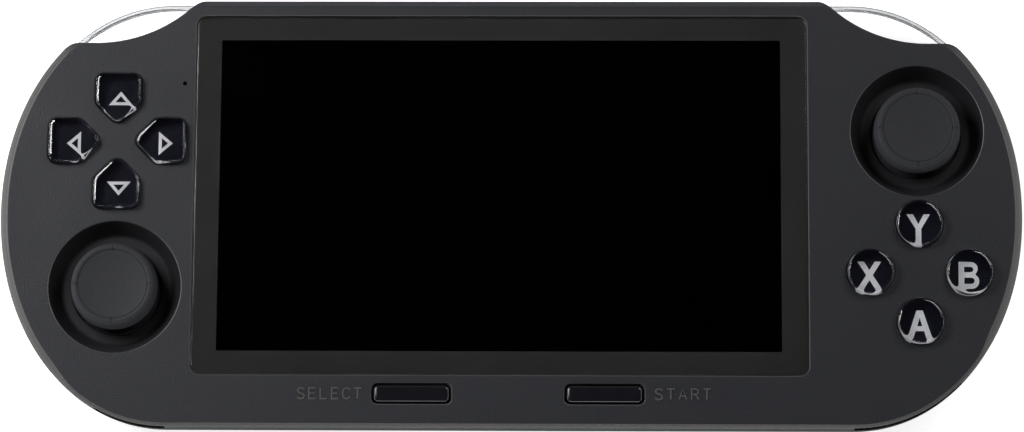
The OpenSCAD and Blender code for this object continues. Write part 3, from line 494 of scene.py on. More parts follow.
def revolve(profile, at, n=128, turns=None):
    """A profile of (radius, height) turned about an upright axis: one row of points for each height."""
    a = np.linspace(0, 2 * np.pi, n, endpoint=False) if turns is None else turns
    r, z = np.asarray(profile, float).T
    x = at[0] + r[:, None] * np.cos(a)
    y = at[1] + r[:, None] * np.sin(a)
    return np.stack([x, y, np.broadcast_to(z[:, None], x.shape)], -1)


# Section of a stick dish: radius, and depth below the face; its first rows are the edge
DISH = [(13.75, 0), (13.65, 0), (13.57, 0.02), (13.5, 0.07), (13.45, 0.15), (13.42, 0.26)]
DISH_EDGE, DISH_STEPS = len(DISH), 160
DISH += [(12.6, 2), (11.55, 3.8), (11.35, 4.1), (11.0, 4.28), (10.6, 4.3), (9.5, 4.3)]
DISH += [(9.25, 4.36), (9.1, 4.5), (9.0, 5.1)]
MENU_KEYS = {"select_key": span("select_key").mean(0)[:2], "start_key": span("start_key").mean(0)[:2]}
PAD_TURN = {"dpad_up": 0, "dpad_left": 90, "dpad_down": 180, "dpad_right": 270}
ACTION_KEYS = ("action_a", "action_b", "action_x_key", "action_y_key")
ACTION_AT = {name: span(name).mean(0)[:2] for name in ACTION_KEYS}


def face_holes():
    """The rows of every hole in the face but the dishes, from the flat lead at the face downwards, each
    with how strongly its edge takes the paler tone of wear and painted highlight."""
    wide, tall = PANE_SIZE[:2] + 0.3
    holes = [(rim(lambda o: rounded_box(PANE_MID, wide + 2 * o, tall + 2 * o, 2 + o), 1.15, 0.2), 0.5)]
    for turn in PAD_TURN.values():
        holes.append((rim(lambda o, turn=turn: pad_plate(-KEY_GAP - o, turn), 2.0), 0.1))
    for at in ACTION_AT.values():
        holes.append((rim(lambda o, at=at: circle(at, ACTION_R + KEY_GAP + o, 96), 2.0), 0.1))
    w, h = MENU_RECESS
    for at in MENU_KEYS.values():
        recess = rim(lambda o, at=at: rounded_box(at, w + 2 * o, h + 2 * o, 1.2 + o), RECESS_DEEP, 0.15)
        way = rounded_box(at, MENU_SIZE[0] + 2 * KEY_GAP, MENU_SIZE[1] + 2 * KEY_GAP, 1.0)
        way = [lift(way, FACE - RECESS_DEEP), lift(way, CEILING)]
        holes.append((np.concatenate([recess, way]), 0.7))
    holes.append((rim(lambda o: circle(MIC_AT, 0.4 + o, 24), 1.9, 0.1, 0.05), 0))
    return holes


# Single-stroke letters one unit tall, as the paths of a round cutter, and the width of most of them
LETTER_W = 0.72
LETTER_S = [(0.7, 0.84), (0.58, 0.96), (0.37, 1), (0.15, 0.94), (0.06, 0.76), (0.16, 0.59), (0.37, 0.51)]
LETTER_S += [(0.6, 0.42), (0.7, 0.25), (0.6, 0.06), (0.37, 0), (0.14, 0.04), (0.03, 0.17)]
LETTER_C = [(0.72, 0.8), (0.6, 0.95), (0.38, 1), (0.15, 0.92), (0.04, 0.7)]
LETTER_C += [(0.04, 0.3), (0.15, 0.08), (0.38, 0), (0.6, 0.05), (0.72, 0.2)]
STROKES = {
    "S": [LETTER_S],
    "C": [LETTER_C],
    "E": [[(0.66, 1), (0.06, 1), (0.06, 0), (0.66, 0)], [(0.06, 0.5), (0.58, 0.5)]],
    "L": [[(0.06, 1), (0.06, 0), (0.64, 0)]],
    "T": [[(0, 1), (0.72, 1)], [(0.36, 1), (0.36, 0)]],
    "A": [[(0, 0), (0.36, 1), (0.72, 0)], [(0.14, 0.34), (0.58, 0.34)]],
    "R": [
        [(0.06, 0), (0.06, 1), (0.46, 1), (0.64, 0.92), (0.69, 0.75), (0.63, 0.57), (0.46, 0.5), (0.06, 0.5)],
        [(0.4, 0.5), (0.72, 0)],
    ],
}


def ribbon(path, width, low, high):
    """A raised stroke: a trapezium carried along a path of corners, mitred where it turns, its top painted
    paler for wear and a highlight.
    """
    p = np.asarray(path, float)
    step = unit(np.diff(p, axis=0))
    side = np.stack([-step[:, 1], step[:, 0]], 1)
    before, after = np.concatenate([side[:1], side]), np.concatenate([side, side[-1:]])
    mitre = before + after
    mitre /= np.maximum(np.sum(mitre * before, 1, keepdims=True), 0.6)
    offsets = ((0.5 * width, low), (0.2 * width, high), (-0.2 * width, high), (-0.5 * width, low))
    rows = np.array([lift(p + mitre * o, z) for o, z in offsets])
    return *grid(rows, flip=True), 0, wear_and_highlight_by_row(rows, (0.2, 0.55, 0.55, 0.2))


def raised_word(word, middle, width):
    """A word in single strokes, raised a little; neighbouring strokes differ by a hair in height."""
    pitch = (width - LETTER_W * WORD_TALL) / (len(word) - 1)
    left = np.array([middle[0] - width / 2, middle[1] - WORD_TALL / 2])
    paths = [np.array(s) * WORD_TALL + left + [i * pitch, 0] for i, c in enumerate(word) for s in STROKES[c]]
    high = FACE + WORD_OUT
    return [ribbon(p, WORD_STROKE, FACE - 0.05, high + 0.004 * (i % 3)) for i, p in enumerate(paths)]


def front_shell():
    """The upper half of the casing: bevelled edge blended into the hollow shoulders, side wall down to
    the parting line, sound slots, and the face with its holes, dishes and raised words."""
    bevel_in = (1.85, 1.68, 1.52, 1.39, 1.27, 0.3, 0.26, 0.14, 0.05, 0, 0)
    bevel_down = (0, 0, 0.02, 0.08, 0.19, 1.16, 1.2, 1.32, 1.44, 1.6, 1.9)
    hollow_in = (0.6, 0.45, 0.28, 0.16, 0.1, 0.085, 0.08, 0.06, 0.02, 0, 0)
    hollow_down = (0, 0, 0.04, 0.12, 0.2, 0.23, 0.24, 0.28, 0.4, 0.55, FACE - LIP)
    plan_x = COLUMN_X + END_W * COLUMN_C
    hollow = 1 - soft_min(HALF_H * COLUMN_S, hollow_height(plan_x))[1]
    # the bevel is half as wide along the lower edge, and narrows sooner at the right corner
    near_edge = np.clip((-COLUMN_S - np.where(COLUMN_X > 0, 0.55, 0.72)) / 0.15, 0, 1)
    slim = 1 - 0.5 * near_edge**2 * (3 - 2 * near_edge)
    edge = np.array(
        [
            lift(outline(i * slim, hi), FACE - d * slim * (1 - hollow) - hd * hollow)
            for i, d, hi, hd in zip(bevel_in, bevel_down, hollow_in, hollow_down)
        ]
    )
    # the paler tone of wear and painted highlight is strongest at the ends and the lower edge, where hands
    # hold it and the lamps catch the bevel
    handling_and_highlight = np.maximum(np.abs(COLUMN_C), -COLUMN_S) * (1 - hollow)
    marks = (0, 0, 0.6, 0.7, 0.28, 0.5, 0.5, 0.5, 0.7, 0.7, 0)
    tail = (SLOT_LOW, 14.3, 13.6, 12.9, 12.2, 11.2, 10.3, 9.8, 9.7, 9.6, PARTING)
    levels, hollow_levels = np.array([FACE - 1.9, 15.5, *tail]), np.array([LIP, 15.1, *tail])
    heights = levels[:, None] * (1 - hollow) + hollow_levels[:, None] * hollow
    wall = np.array([lift(outline(parting_inset(z)), z) for z in heights])
    skin = np.concatenate([edge, wall[1:]])
    wear = wear_and_highlight_by_row(skin, marks, handling_and_highlight).reshape(skin.shape[:2])
    # the bevel runs on all round down to the top row of the slots
    top = bevel_down.index(1.2)
    parts = [(*grid(skin[: top + 1], wrap=True, flip=True), 0, wear[: top + 1].ravel())]
    low = skin[top:, LOWER_RUN]
    slot_rows = len(edge) - top + 1
    middle = (plan_x[LOWER_RUN][:-1] + plan_x[LOWER_RUN][1:]) / 2
    slot_out = np.where(middle > 0, SLOT_RIGHT, SLOT_LEFT)
    slot_columns = (np.abs(middle) > SLOT_IN) & (np.abs(middle) < slot_out) & (low[0, :-1, 1] < 0)
    slots = (np.arange(len(low) - 1) < slot_rows)[:, None] & slot_columns
    parts.append((*grid(low, flip=True, leave=slots), 0, wear[top:, LOWER_RUN].ravel()))
    for run in (UPPER_RUN, *OPEN_RUNS):
        parts.append((*grid(edge[top:, run], flip=True), 0, wear[top : len(edge), run].ravel()))
    parts.append((*grid(wall[:, UPPER_RUN], flip=True), 0))
    for sign in (-1, 1):
        run = np.flatnonzero(slot_columns & (low[0, :-1, 0] * sign > 0))
        run = np.append(run, run[-1] + 1)
        loop = border(low[: slot_rows + 1, run])
        into = np.array([sign * END_X, 0, 0]) - loop
        into[:, 2] = 0
        parts.append((*grid([loop, loop + 2 * unit(into)], wrap=True), 0))
    for run in OPEN_RUNS:
        lip = edge[-1, run]
        parts.append((*grid([lip, lip - [0, 2, 0], lip - [0, 2, -1.5]], flip=True), 0))
        for column in (run[0], run[-1]):
            end = wall[:, column]
            parts.append((*grid([end, end - [0, TURN_IN, 0]], flip=column == run[0]), 0))
    holes = face_holes()
    dishes = [revolve(np.array(DISH) * [1, -1] + [0, FACE], at, DISH_STEPS) for at in STICK_AT.values()]
    # the hole rims take painted highlight lines as well as wear
    parts += [(*grid(rows, wrap=True), 0, wear_and_highlight_by_row(rows, RIM_WEAR_AND_HIGHLIGHT, how)) for rows, how in holes]
    # the dish edge takes its painted highlight most on its left and right sides, where the lamps catch it
    sides = np.abs(np.cos(np.linspace(0, 2 * np.pi, DISH_STEPS, endpoint=False))) ** 1.5
    for rows in dishes:
        turned_edge = rows[:DISH_EDGE]
        parts.append((*grid(turned_edge, wrap=True), 0, wear_and_highlight_by_row(turned_edge, DISH_WEAR_AND_HIGHLIGHT, sides)))
    # below its edge each dish takes the deeper black of painted shade
    parts += [(*grid(rows[DISH_EDGE - 1 :], wrap=True), 1) for rows in dishes]
    openings = [rows[0] for rows, _ in holes] + [rows[0] for rows in dishes]
    parts.append((*level_fill([edge[0], *openings], FACE), 0))
    parts += raised_word("SELECT", MENU_KEYS["select_key"] + [-16.5, 0], 13.0)
    parts += raised_word("START", MENU_KEYS["start_key"] + [15.75, 0], 11.2)
    piece("front_shell_skin", parts, [SHELL, DISH_SHADE_BLACK], "console", ["front_shell"])


def port_loops():
    """Outlines, as x and height, of the openings along the top edge."""
    knob, up, down = (span(name).mean(0)[0] for name in ("power_knob", "volume_up_key", "volume_down_key"))
    usb, card, jack = (span(name).mean(0)[0] for name in ("usb_port", "card_slot", "headphone_jack"))
    loops = [rounded_box((knob + 2.0, EDGE_Z), 9.5, 2.3, 0.6)]
    loops += [rounded_box((x, EDGE_Z), 7.5, 2.5, 0.7) for x in (up, down)]
    loops += [rounded_box((usb, 8.15), 8.0, 2.2, 0.6), rounded_box((card, 8.65), 12.4, 1.2, 0.3)]
    return [*loops, circle((jack, 6.5), 2.6, 48)]


def rear_shell():
    """The lower half of the casing: the side carried round to the back as a quarter ellipse, openings
    along the top edge, the hollow shoulders, and the back with four screw holes."""
    high = np.array([PARTING, 9.4, 9.3, 8.9, 8.4, LEDGE])
    turn = np.linspace(np.arcsin(1 - LEDGE / CROWN), np.pi / 2, 26)
    deep = CROWN * (1 - np.sin(turn))
    upper = np.array([lift(outline(parting_inset(z)), z) for z in high])
    lower = np.array([lift(outline(side_inset(z)), z) for z in deep])
    parts = [(*grid(upper[:, LOWER_RUN], flip=True), 0)]
    start, stop = column_at(PORTS_X), column_at(-PORTS_X)
    ends = UPPER_RUN[: start - UPPER_RUN[0] + 1], UPPER_RUN[stop - UPPER_RUN[0] :]
    parts += [(*grid(upper[:, run], flip=True), 0) for run in ends]
    rows_cut = int(np.argmax(deep < PORTS_LOW))
    leave = np.zeros((len(deep) - 1, len(COLUMN_X)), bool)
    leave[:rows_cut, start:stop] = True
    parts.append((*grid(lower, wrap=True, flip=True, leave=leave), 0))
    # the stretch with openings: flat pattern of x and length along the curve
    heights = np.concatenate([high, deep[1 : rows_cut + 1]])
    along = -CROWN * np.arcsin(1 - heights / CROWN)
    x = COLUMN_X[start : stop + 1]
    pattern = np.stack(np.meshgrid(x, along), -1)
    ports = [np.stack([p[:, 0], -CROWN * np.arcsin(1 - p[:, 1] / CROWN)], 1) for p in port_loops()]
    flat, faces = fill([border(pattern), *ports], pattern[1:-1:2, 4:-4:5].reshape(-1, 2))

    def wrapped(points):
        """Points of the flat pattern on the curved side."""
        z = CROWN * (1 - np.sin(-points[:, 1] / CROWN))
        return np.stack([points[:, 0], HALF_H - parting_inset(z), z], 1)

    parts.append((wrapped(flat), faces[:, ::-1], 0))
    for loop in ports:
        skin = wrapped(loop)
        parts.append((*grid([skin, skin - [0, 2.1, 0]], wrap=True, flip=True), 0))
    for run in OPEN_RUNS:
        ledge = lower[0, run]
        parts.append((*grid([ledge, ledge - [0, TURN_IN, 0], ledge - [0, TURN_IN, 3]]), 0))
        for column in (run[0], run[-1]):
            end = upper[:, column]
            parts.append((*grid([end, end - [0, TURN_IN, 0]], flip=column == run[0]), 0))
    seat = np.array([(0.3, 0), (0.06, 0.08), (0, 0.3), (0, SCREW_SEAT)]) + [SCREW_HOLE_R, 0]
    screws = [revolve(seat, at, 48) for at in SCREW_AT]
    parts += [(*grid(rows, wrap=True, flip=True), 0) for rows in screws]
    parts.append((*level_fill([lower[-1]] + [rows[0] for rows in screws], 0.0, down=True), 0))
    piece("rear_shell_skin", parts, [SHELL], "console", ["rear_shell"])


front_shell()
rear_shell()


# Display cover


def display_cover():
    """The clear cover: a flat plate with eased upper edges, whose underside is printed round the picture."""
    top, low = PANE_HIGH[2], PANE_LOW[2] + 0.02
    wide, tall = PANE_SIZE[:2]
    eased = ((0.3, top), (0.2, top), (0.08, top - 0.05), (0, top - 0.16), (0, low))
    loops = [rounded_box(PANE_MID, wide - 2 * i, tall - 2 * i, 1.85 - i, 9) for i, _ in eased]
    edge = np.array([lift(loop, z) for loop, (_, z) in zip(loops, eased)])
    picture = rounded_box(PANE_MID - [PICTURE_LEFT, 0, 0], *PICTURE_SIZE, 0.3)
    parts = [
        (*level_fill([edge[0]], top), 0),
        (*grid(edge, wrap=True, flip=True), 0),
        (*level_fill([edge[-1], picture], low, down=True), 1),
        (*level_fill([picture], low, down=True), 0),
    ]
    finishes = [PANE, BORDER]
    piece("display_cover", parts, finishes, "console", ["display_window"], closed=True)


display_cover()


# Keys


def to_centre(rows, z, crown):
    """Closes a cap: its last row drawn to its middle in steps, rising by a low crown."""
    last = rows[-1]
    middle = last.mean(0)
    f = np.array([0.85, 0.65, 0.4, 0.2, 0.0])[:, None, None]
    drawn = middle + (last - middle) * f
    drawn[..., 2] = z + crown * (1 - f[..., 0] ** 2)
    return np.concatenate([rows, drawn])


# Section of a clear key's brim: how far in from its side, and height from the top of its crown
KEY_EDGE = [(0, -0.8), (0.02, -0.58), (0.08, -0.4), (0.19, -0.25), (0.35, -0.14), (0.6, -0.07)]
KEY_EDGE += [(0.9, -KEY_CROWN)]


def clear_key(name, loop_at, legend, shift):
    """A clear key: straight sides, a rounded brim and a low crown over a printed underside with its
    legend, which lies a little above the print inside the plastic."""
    rows = [lift(loop_at(0), PRINT_Z)] + [lift(loop_at(i), KEY_TOP + z) for i, z in KEY_EDGE]
    cap = to_centre(np.array(rows), KEY_TOP - KEY_CROWN, KEY_CROWN)
    parts = [(*grid(cap, wrap=True), 0), (*level_fill([loop_at(0)], PRINT_Z, down=True), 1)]
    parts.append((*level_fill([loop + shift for loop in legend], PRINT_Z + LEGEND_UP), 2))
    piece(name + "_clear", parts, [CLEAR, NAVY, SILVER], name, [name])


def arrow(turn_degrees):
    """An outlined triangle that points outwards: its inner edge is drawn in evenly by the stroke."""
    base, tall, stroke, middle = 4.86, 2.85, 0.62, 9.4
    outer = np.array([[-base / 2, -tall / 2], [base / 2, -tall / 2], [0, tall / 2]])
    sides = np.linalg.norm(np.roll(outer, -1, 0) - outer, axis=1)
    inner_r = base * tall / sides.sum()
    heart = np.array([0, inner_r - tall / 2])
    loops = [outer, heart + (outer - heart) * (1 - stroke / inner_r)]
    return [on_pad(loop + [0, middle], turn_degrees) for loop in loops]


def bow(at, r, start_degrees, stop_degrees, n=14):
    """Points along an arc."""
    a = np.radians(np.linspace(start_degrees, stop_degrees, n))
    return np.asarray(at) + r * np.stack([np.cos(a), np.sin(a)], 1)


def letter_loops(letter):
    """Plain upright capitals 5.5 mm tall, as outlines about their middle, then their holes. The Y is
    printed a little low on its key."""
    h = 2.75
    if letter == "A":
        outer = [(-2.45, -h), (-1.25, -h), (-0.86, -1.42), (0.86, -1.42), (1.25, -h), (2.45, -h)]
        outer += [(0.62, h), (-0.62, h)]
        return [outer, [(-0.5, -0.42), (0.5, -0.42), (0, 1.3)]]
    if letter == "B":
        belly, head = bow((0.6, -1.22), 1.48, -90, 58), bow((0.45, 1.36), 1.34, -46, 90)
        outer = [(-2.02, -h), *belly, *head, (-2.02, h)]
        return [
            outer,
            [(-0.9, 0.62), *bow((0.38, 1.17), 0.55, -90, 90, 8), (-0.9, 1.72)],
            [(-0.9, -1.74), *bow((0.52, -1.1), 0.64, -90, 90, 8), (-0.9, -0.46)],
        ]
    if letter == "X":
        w, s = 2.4, 1.3
        dip = h - 2 * h * (w - s) / (2 * w - s)
        half = [(w, h), (s / 2, 0), (w, -h), (w - s, -h), (0, -dip), (-w + s, -h)]
        return [half + [(-x, -y) for x, y in half]]
    w, s, stem, top, foot = 2.35, 1.28, 0.56, h - 0.25, -h - 0.25
    arms = [(-w, top), (-w + s, top), (0, 0.47), (w - s, top), (w, top)]
    return [arms + [(stem, -0.47), (stem, foot), (-stem, foot), (-stem, -0.47)]]


for name, turn in PAD_TURN.items():
    clear_key(name, lambda i, turn=turn: pad_plate(i, turn), arrow(turn), ARROW_OFF)
for name, at in ACTION_AT.items():
    letter = name.split("_")[1].upper()
    legend = [np.array(loop) + at for loop in letter_loops(letter)]
    clear_key(name, lambda i, at=at: circle(at, ACTION_R - i, 96), legend, LETTER_OFF)


def menu_key(name):
    """A polished bar with round corners, eased edges and a nearly flat top."""
    at, top = MENU_KEYS[name], span(name)[1][2]
    (wide, tall), foot = MENU_SIZE, CEILING - 0.1
    edge = np.array([(0, -0.6), (0.05, -0.42), (0.16, -0.26), (0.34, -0.13), (0.6, -0.05), (0.85, -0.04)])
    edge = np.concatenate([[[0, foot]], edge + [0, top]])
    rows = [lift(rounded_box(at, wide - 2 * i, tall - 2 * i, max(0.9 - i, 0.15)), z) for i, z in edge]
    cap = to_centre(np.array(rows), top - 0.04, 0.04)
    parts = [(*grid(cap, wrap=True), 0), (*level_fill([cap[0]], foot, down=True), 0)]
    piece(name + "_bar", parts, [GLOSS], name, [name])


for name in MENU_KEYS:
    menu_key(name)


# Thumb sticks

DISC_R, NECK_R, DOME_R, DOME_T, DOME_EDGE = 6.9, 3.6, 10.6, 1.0, math.radians(77)
# Four notches in the rim: depth, half width, and the part of it that slopes
NOTCH_DEEP, NOTCH_HALF, NOTCH_SLOPE = 0.14, 0.24, 0.08


def stick_cap(side):
    """A thumb cap: a dished disc inside a rounded rim with four fine notches, a neck, and a dome about
    the pivot that closes the dish. The profile is turned; notches lower the rim at four directions."""
    top = span(side + "_stick_cap")[1][2]
    r = np.linspace(0, DISC_R, 12)
    disc = np.stack([r, top - 0.8 + 0.5 * (r / DISC_R) ** 2.4], 1)
    brim = [(6.96, -0.36), (7.03, -0.36), (7.09, -0.24), (7.2, -0.14), (7.4, -0.08), (7.65, -0.08)]
    brim += [(7.9, -0.15), (8.1, -0.28), (8.26, -0.52), (8.4, -0.85), (8.5, -1.25), (8.58, -1.7)]
    brim += [(8.65, -2.2), (8.72, -2.8), (8.79, -3.4), (8.78, -3.65), (8.5, -3.92), (7.6, -4.0)]
    brim += [(3.9, -4.0), (NECK_R, -4.15)]
    brim = np.array(brim) + [0, top]
    a = np.linspace(math.asin(NECK_R / DOME_R), DOME_EDGE, 24)
    arc = np.stack([np.sin(a), np.cos(a)], 1)
    dome, under = (arc * r + [0, PIVOT_Z] for r in (DOME_R, DOME_R - DOME_T))
    under = under[::-1]
    profile = np.concatenate([disc, brim, dome, under, [[0, under[-1, 1]]]])
    near = np.array([0.8, 1.1, 1.4, 1.7, 2.1, 2.6, 3.2])
    near = np.radians(np.concatenate([-near[::-1], [0], near]))
    even = np.linspace(0, 2 * np.pi, 144, endpoint=False)
    turns = np.concatenate([even, *(near + k * np.pi / 2 for k in range(4))])
    turns = np.unique(np.round(turns % (2 * np.pi), 5))
    rows = revolve(profile, STICK_AT[side], turns=turns)
    across = profile[:, 0, None] * np.abs(np.sin(((turns + np.pi / 4) % (np.pi / 2)) - np.pi / 4))
    on_brim = (profile[:, 0] > 7.0) & (profile[:, 0] < 8.0) & (profile[:, 1] > top - 0.5)
    rows[..., 2] -= NOTCH_DEEP * on_brim[:, None] * np.clip((NOTCH_HALF - across) / NOTCH_SLOPE, 0, 1)
    parts = [(*grid(rows, wrap=True, flip=True), 0)]
    piece(side + "_thumb_cap", parts, [RUBBER], side + "_stick", [side + "_stick_cap"])


for side in STICK_AT:
    stick_cap(side)


# Shoulder buttons

# The crescent's wall: how far its middle is set in, thickness, and lean above the web for each mm up
WALL_IN, WALL_T, WALL_LEAN = 0.875, 0.75, 0.05
# Its web: heights, reach under the face, and how far outside the hollow the solid lower half begins
WEB_LOW, WEB_HIGH, WEB_REACH, BLOCK_OUT = 12.0, 13.2, 3.3, 0.5
# Its columns, closer together at the outer end, and the side of its section that counts as the inner one
WALL_X, WALL_X_FINE, INNER_SIDE = (64.9, 88.0, 60), (88.3, 89.6, 6), -0.3
# Eye round the pin, and the finger that meets the switch
EYE_BORE, EYE_R, FINGER_X, FINGER_SIZE = 1.05, 2.2, 71.7, (2.0, 3.0)


def end_height(x, inset):
    """Height of the rounded end at an x: a superellipse with both half axes shortened by an inset."""
    across = np.clip((x - END_X) / (END_W - inset), 0, 1)
    return (HALF_H - inset) * (1 - across**END_POWER) ** (1 / END_POWER)


def carried(sections):
    """A closed bar: sections of equal length joined along a path, with both ends capped."""
    sections = np.asarray(sections, float)
    points, quads = grid(sections, wrap=True)
    n, m = sections.shape[1], len(sections)
    fan = np.stack([np.zeros(n - 2, int), np.arange(1, n - 1), np.arange(2, n)], 1)
    return [(points, quads, 0), (points[:n], fan[:, ::-1], 0), (points[(m - 1) * n :], fan, 0)]


def level_cap(section):
    """The end of a bar: its section, taken as distance along its own plane and height, filled flat."""
    along = section[:, 0] - section[0, 0] + 1e-3 * (section[:, 1] - section[0, 1])
    spread = section[:, 1] if np.ptp(section[:, 1]) > np.ptp(section[:, 0]) else along
    loop = np.stack([spread, section[:, 2]], 1)
    flat, faces = fill([loop])
    near = np.argmin(np.linalg.norm(flat[:, None] - loop[None], axis=2), 1)
    return section[near], faces


def shoulder_button(side, sign):
    """A clear crescent: an upright wall that follows the casing's outline over the hollow and leans in
    above, a solid lower half, a web that runs in under the face, the eye round its pin and the finger
    that meets the switch."""
    name = side + "_shoulder_button"
    low, high = span(name)[0][2], span(name)[1][2]
    pin = span(side + "_shoulder_pin").mean(0)
    x = np.concatenate([np.linspace(*WALL_X), np.linspace(*WALL_X_FINE)])
    y = end_height(x, WALL_IN)
    slope = np.gradient(y, x)
    normal = np.stack([-slope, np.ones_like(x)], 1) / np.sqrt(1 + slope**2)[:, None]
    wall = rounded_box((0, (low + high) / 2), WALL_T, high - low, 0.14, 5)
    first = np.flatnonzero((wall[:, 0] < 0) & (wall[:, 1] < (WEB_LOW + WEB_HIGH) / 2))[0]
    web = [[-WALL_T / 2, z] for z in (WEB_HIGH, WEB_HIGH, WEB_LOW, WEB_LOW)]
    section = np.insert(wall, first, web, 0)
    out = section[:, 0] - WALL_LEAN * np.clip(section[:, 1] - WEB_HIGH, 0, None)
    plan = np.stack([x, y], 1)[:, None] + normal[:, None] * out[:, None]
    skin = np.concatenate([plan, np.broadcast_to(section[:, 1:], (len(x), len(section), 1))], 2)
    skin[:, first + 1 : first + 3, 0] = x[:, None]
    skin[:, first + 1 : first + 3, 1] = (hollow_height(x) - WEB_REACH)[:, None]
    below = np.flatnonzero((section[:, 0] < 0) & (section[:, 1] <= WEB_LOW))
    below = below[below != first + 2]
    skin[:, below, 1] = np.minimum(skin[:, below, 1], (hollow_height(x) + BLOCK_OUT)[:, None])
    skin[..., 0] *= sign
    eye = [(EYE_BORE, WEB_LOW), (EYE_R, WEB_LOW), (EYE_R, WEB_HIGH), (EYE_BORE, WEB_HIGH)]
    ring = revolve([*eye, eye[0]], pin, 40)
    reach = span(side + "_shoulder_plunger")[1][1] + 0.1
    finger = rounded_box((sign * FINGER_X, reach + FINGER_SIZE[1] / 2), *FINGER_SIZE, 0.2, 4)
    stub = np.array([lift(finger, WEB_LOW), lift(finger, WEB_HIGH)])
    points, quads = grid(skin, wrap=True)
    column = quads[:, 0] % len(section)
    after = (column + 1) % len(section)
    on_web = (section[column, 0] < INNER_SIDE) & (section[after, 0] < INNER_SIDE)
    on_web |= np.maximum(section[column, 1], section[after, 1]) < low + 0.01
    caps = [level_cap(skin[0]), level_cap(skin[-1])]
    # faces off the web and the wall's inner side take the grey tint of painted shade
    parts = [(points, quads[~on_web], 0), (points, quads[on_web], 1)] + [(*cap, 0) for cap in caps]
    parts += [(*grid(ring, wrap=True), 1)] + [(p, f, 1) for p, f, _ in carried(stub)]
    piece(name + "_crescent", parts, [SHADED_SATIN, CLEAR], name, [name], closed=True)


shoulder_button("left", -1)
shoulder_button("right", 1)


# Top edge

# Foot of a knob or key: thickness, and depth below the outer face, for a knob and for a key
FOOT_T, KNOB_DEEP, KEY_DEEP = 0.7, 4.1, 4.2


def edge_key(name, foot_w, foot_h, bar_w, bar_h, ribs):
    """A sliding knob or push key in the top edge: a guided foot inside the wall and a bar with rounded
    ends through it, whose outer face rises and falls in ribs."""
    low, high = span(name)
    middle, face = (low[0] + high[0]) / 2, high[1]
    inner = face - (KNOB_DEEP if ribs else KEY_DEEP)

    def across(w, h, r, y):
        """A rounded rectangle in the plane of the edge, at a depth y."""
        return np.insert(rounded_box((middle, EDGE_Z), w, h, r, 9), 1, y, 1)

    foot = [across(foot_w, foot_h, 0.3, inner), across(foot_w, foot_h, 0.3, inner + FOOT_T)]
    eased = ((0, 0.45), (0.05, 0.25), (0.18, 0.1), (0.4, 0.03))
    edge = [(0, inner + FOOT_T)] + [(i, face - down) for i, down in eased]
    bar = [across(bar_w - 2 * i, bar_h - 2 * i, 0.8 - i, y) for i, y in edge]
    parts = carried(foot) + carried(bar)
    for x in np.linspace(-1.5, 1.5, ribs) if ribs else []:
        rib = rounded_box((middle + x, EDGE_Z), 0.35, bar_h - 0.9, 0.15, 4)
        parts += carried([np.insert(rib, 1, y, 1) for y in (face - 0.1, face + 0.12)])
    if not ribs:
        pin = rounded_box((middle, EDGE_Z), 1.6, 1.2, 0.1, 4)
        parts += carried([np.insert(pin, 1, y, 1) for y in (low[1], inner)])
    piece(name + "_moulding", parts, [SHELL], name, [name], closed=True)


edge_key("power_knob", 13.9, 2.7, 5.0, 1.8, 5)
edge_key("volume_up_key", 8.2, 2.8, 7.0, 2.0, 0)
edge_key("volume_down_key", 8.2, 2.8, 7.0, 2.0, 0)


# Studio


def floor():
    """A white sweep of floor: it takes the object's shadow, and shows as white where a ray meets it
    straight from the camera, in a mirror or through clear plastic."""
    mesh = bpy.data.meshes.new("studio_floor")
    mesh.from_pydata([(-4, -4, 0), (4, -4, 0), (4, 4, 0), (-4, 4, 0)], [], [(0, 1, 2, 3)])
    made = bpy.data.materials.new("white_studio_paper")
    tree = bare_tree(made)
    rays = add(tree, "ShaderNodeLightPath")
    glow = add(tree, "ShaderNodeMath", {0: (rays, "Is Glossy Ray"), 1: 0.2}, operation="MULTIPLY")
    for ray, level in (("Is Transmission Ray", 0.45), ("Is Camera Ray", 0.75)):
        share = {0: (rays, ray), 1: level, 2: (glow, "Value")}
        glow = add(tree, "ShaderNodeMath", share, operation="MULTIPLY_ADD")
    place = add(tree, "ShaderNodeTexCoord")
    fibre = add(tree, "ShaderNodeTexNoise", {"Vector": (place, "Object"), "Scale": 900.0})
    tones = {"Fac": (fibre, "Fac"), "Color1": linear("#e6e6e6"), "Color2": linear("#eeeeee")}
    tone = add(tree, "ShaderNodeMixRGB", tones)
    paper = add(tree, "ShaderNodeBsdfDiffuse", {"Color": (tone, "Color")})
    light = add(tree, "ShaderNodeEmission", {"Color": (1, 1, 1, 1), "Strength": (glow, "Value")})
    both = add(tree, "ShaderNodeAddShader", {0: (paper, "BSDF"), 1: (light, "Emission")})
    add(tree, "ShaderNodeOutputMaterial", {"Surface": (both, "Shader")})
    mesh.materials.append(made)
    sheet = new_object("studio_floor", mesh)


def facing(right, back, at):
    """The placement of something that looks against a direction, with its own right-hand side."""
    return Matrix([*np.stack([right, np.cross(back, right), back, at], 1).tolist(), [0, 0, 0, 1]])


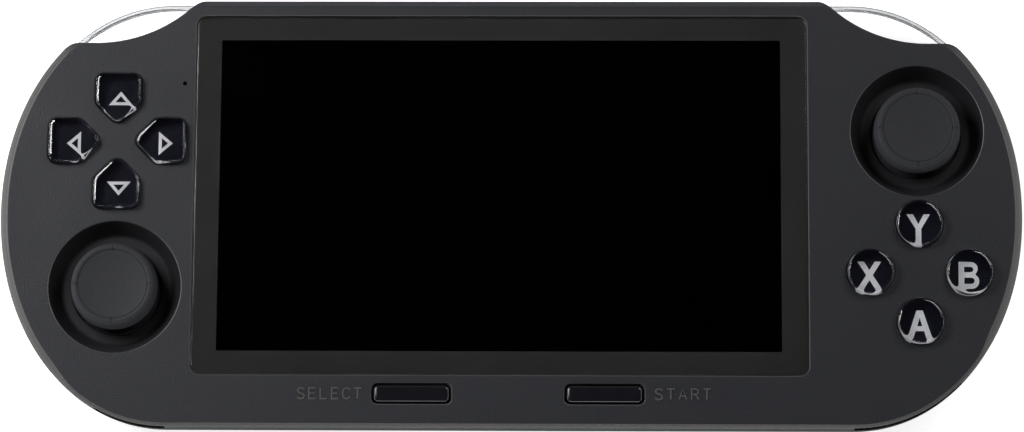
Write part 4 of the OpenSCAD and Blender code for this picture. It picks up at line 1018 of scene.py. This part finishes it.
def softbox(name, at, aim, wide, tall, brightness):
    """A flat lamp that faces a point; its power follows from its size and the brightness of its face."""
    lamp = bpy.data.lights.new(name, "AREA")
    lamp.shape, lamp.size, lamp.size_y = "RECTANGLE", wide, tall
    lamp.energy = brightness * math.pi * wide * tall
    made = new_object(name, lamp)
    back = unit(np.subtract(at, aim))
    made.matrix_world = facing(unit(np.cross((0, 0, 1), back)), back, at)


def room():
    """A dim room that is paler towards the horizon and dark overhead, so that the cover stays black."""
    world = bpy.data.worlds.new("studio_room")
    bpy.context.scene.world = world
    tree = bare_tree(world)
    place = add(tree, "ShaderNodeTexCoord")
    split = add(tree, "ShaderNodeSeparateXYZ", {"Vector": (place, "Generated")})
    limits = {"From Min": 0.0, "From Max": 0.7, "To Min": 0.3, "To Max": 0.0}
    level = add(tree, "ShaderNodeMapRange", {"Value": (split, "Z"), **limits})
    sky = add(tree, "ShaderNodeBackground", {"Color": (1, 1, 1, 1), "Strength": (level, "Result")})
    add(tree, "ShaderNodeOutputWorld", {"Surface": (sky, "Background")})


def camera():
    """A long lens almost square over the face, from the lower edge's side; measured from the photograph."""
    lens = bpy.data.cameras.new("photo_camera")
    lens.sensor_width, lens.lens, lens.clip_start = 36.0, 137.15, 0.01
    back = unit(np.array([0.0225, -0.1908, 0.9814]))
    right = np.array([0.99975, 0.00626, -0.0217])
    right = unit(right - back * right.dot(back))
    aim, distance = np.array([0.44, -0.97, FACE]), 791
    at = (aim + distance * back) * MM
    made = new_object("photo_camera", lens)
    made.matrix_world = facing(right, back, at)
    bpy.context.scene.camera = made


floor()
room()
softbox("left_softbox", (-0.29, 0.14, 0.34), (-0.05, 0.02, 0.02), 0.22, 0.18, 14.0)
softbox("right_softbox", (0.3, 0.24, 0.36), (0.05, 0.02, 0.02), 0.26, 0.22, 5.0)
softbox("front_strip", (0.0, -0.6, 0.09), (0, 0, 0.02), 0.9, 0.16, 4.4)
softbox("left_strip", (-0.6, -0.05, 0.07), (0, 0, 0.02), 0.7, 0.13, 6.0)
softbox("right_strip", (0.6, -0.05, 0.07), (0, 0, 0.02), 0.7, 0.13, 3.8)
camera()
bpy.context.scene.view_settings.view_transform = "Standard"
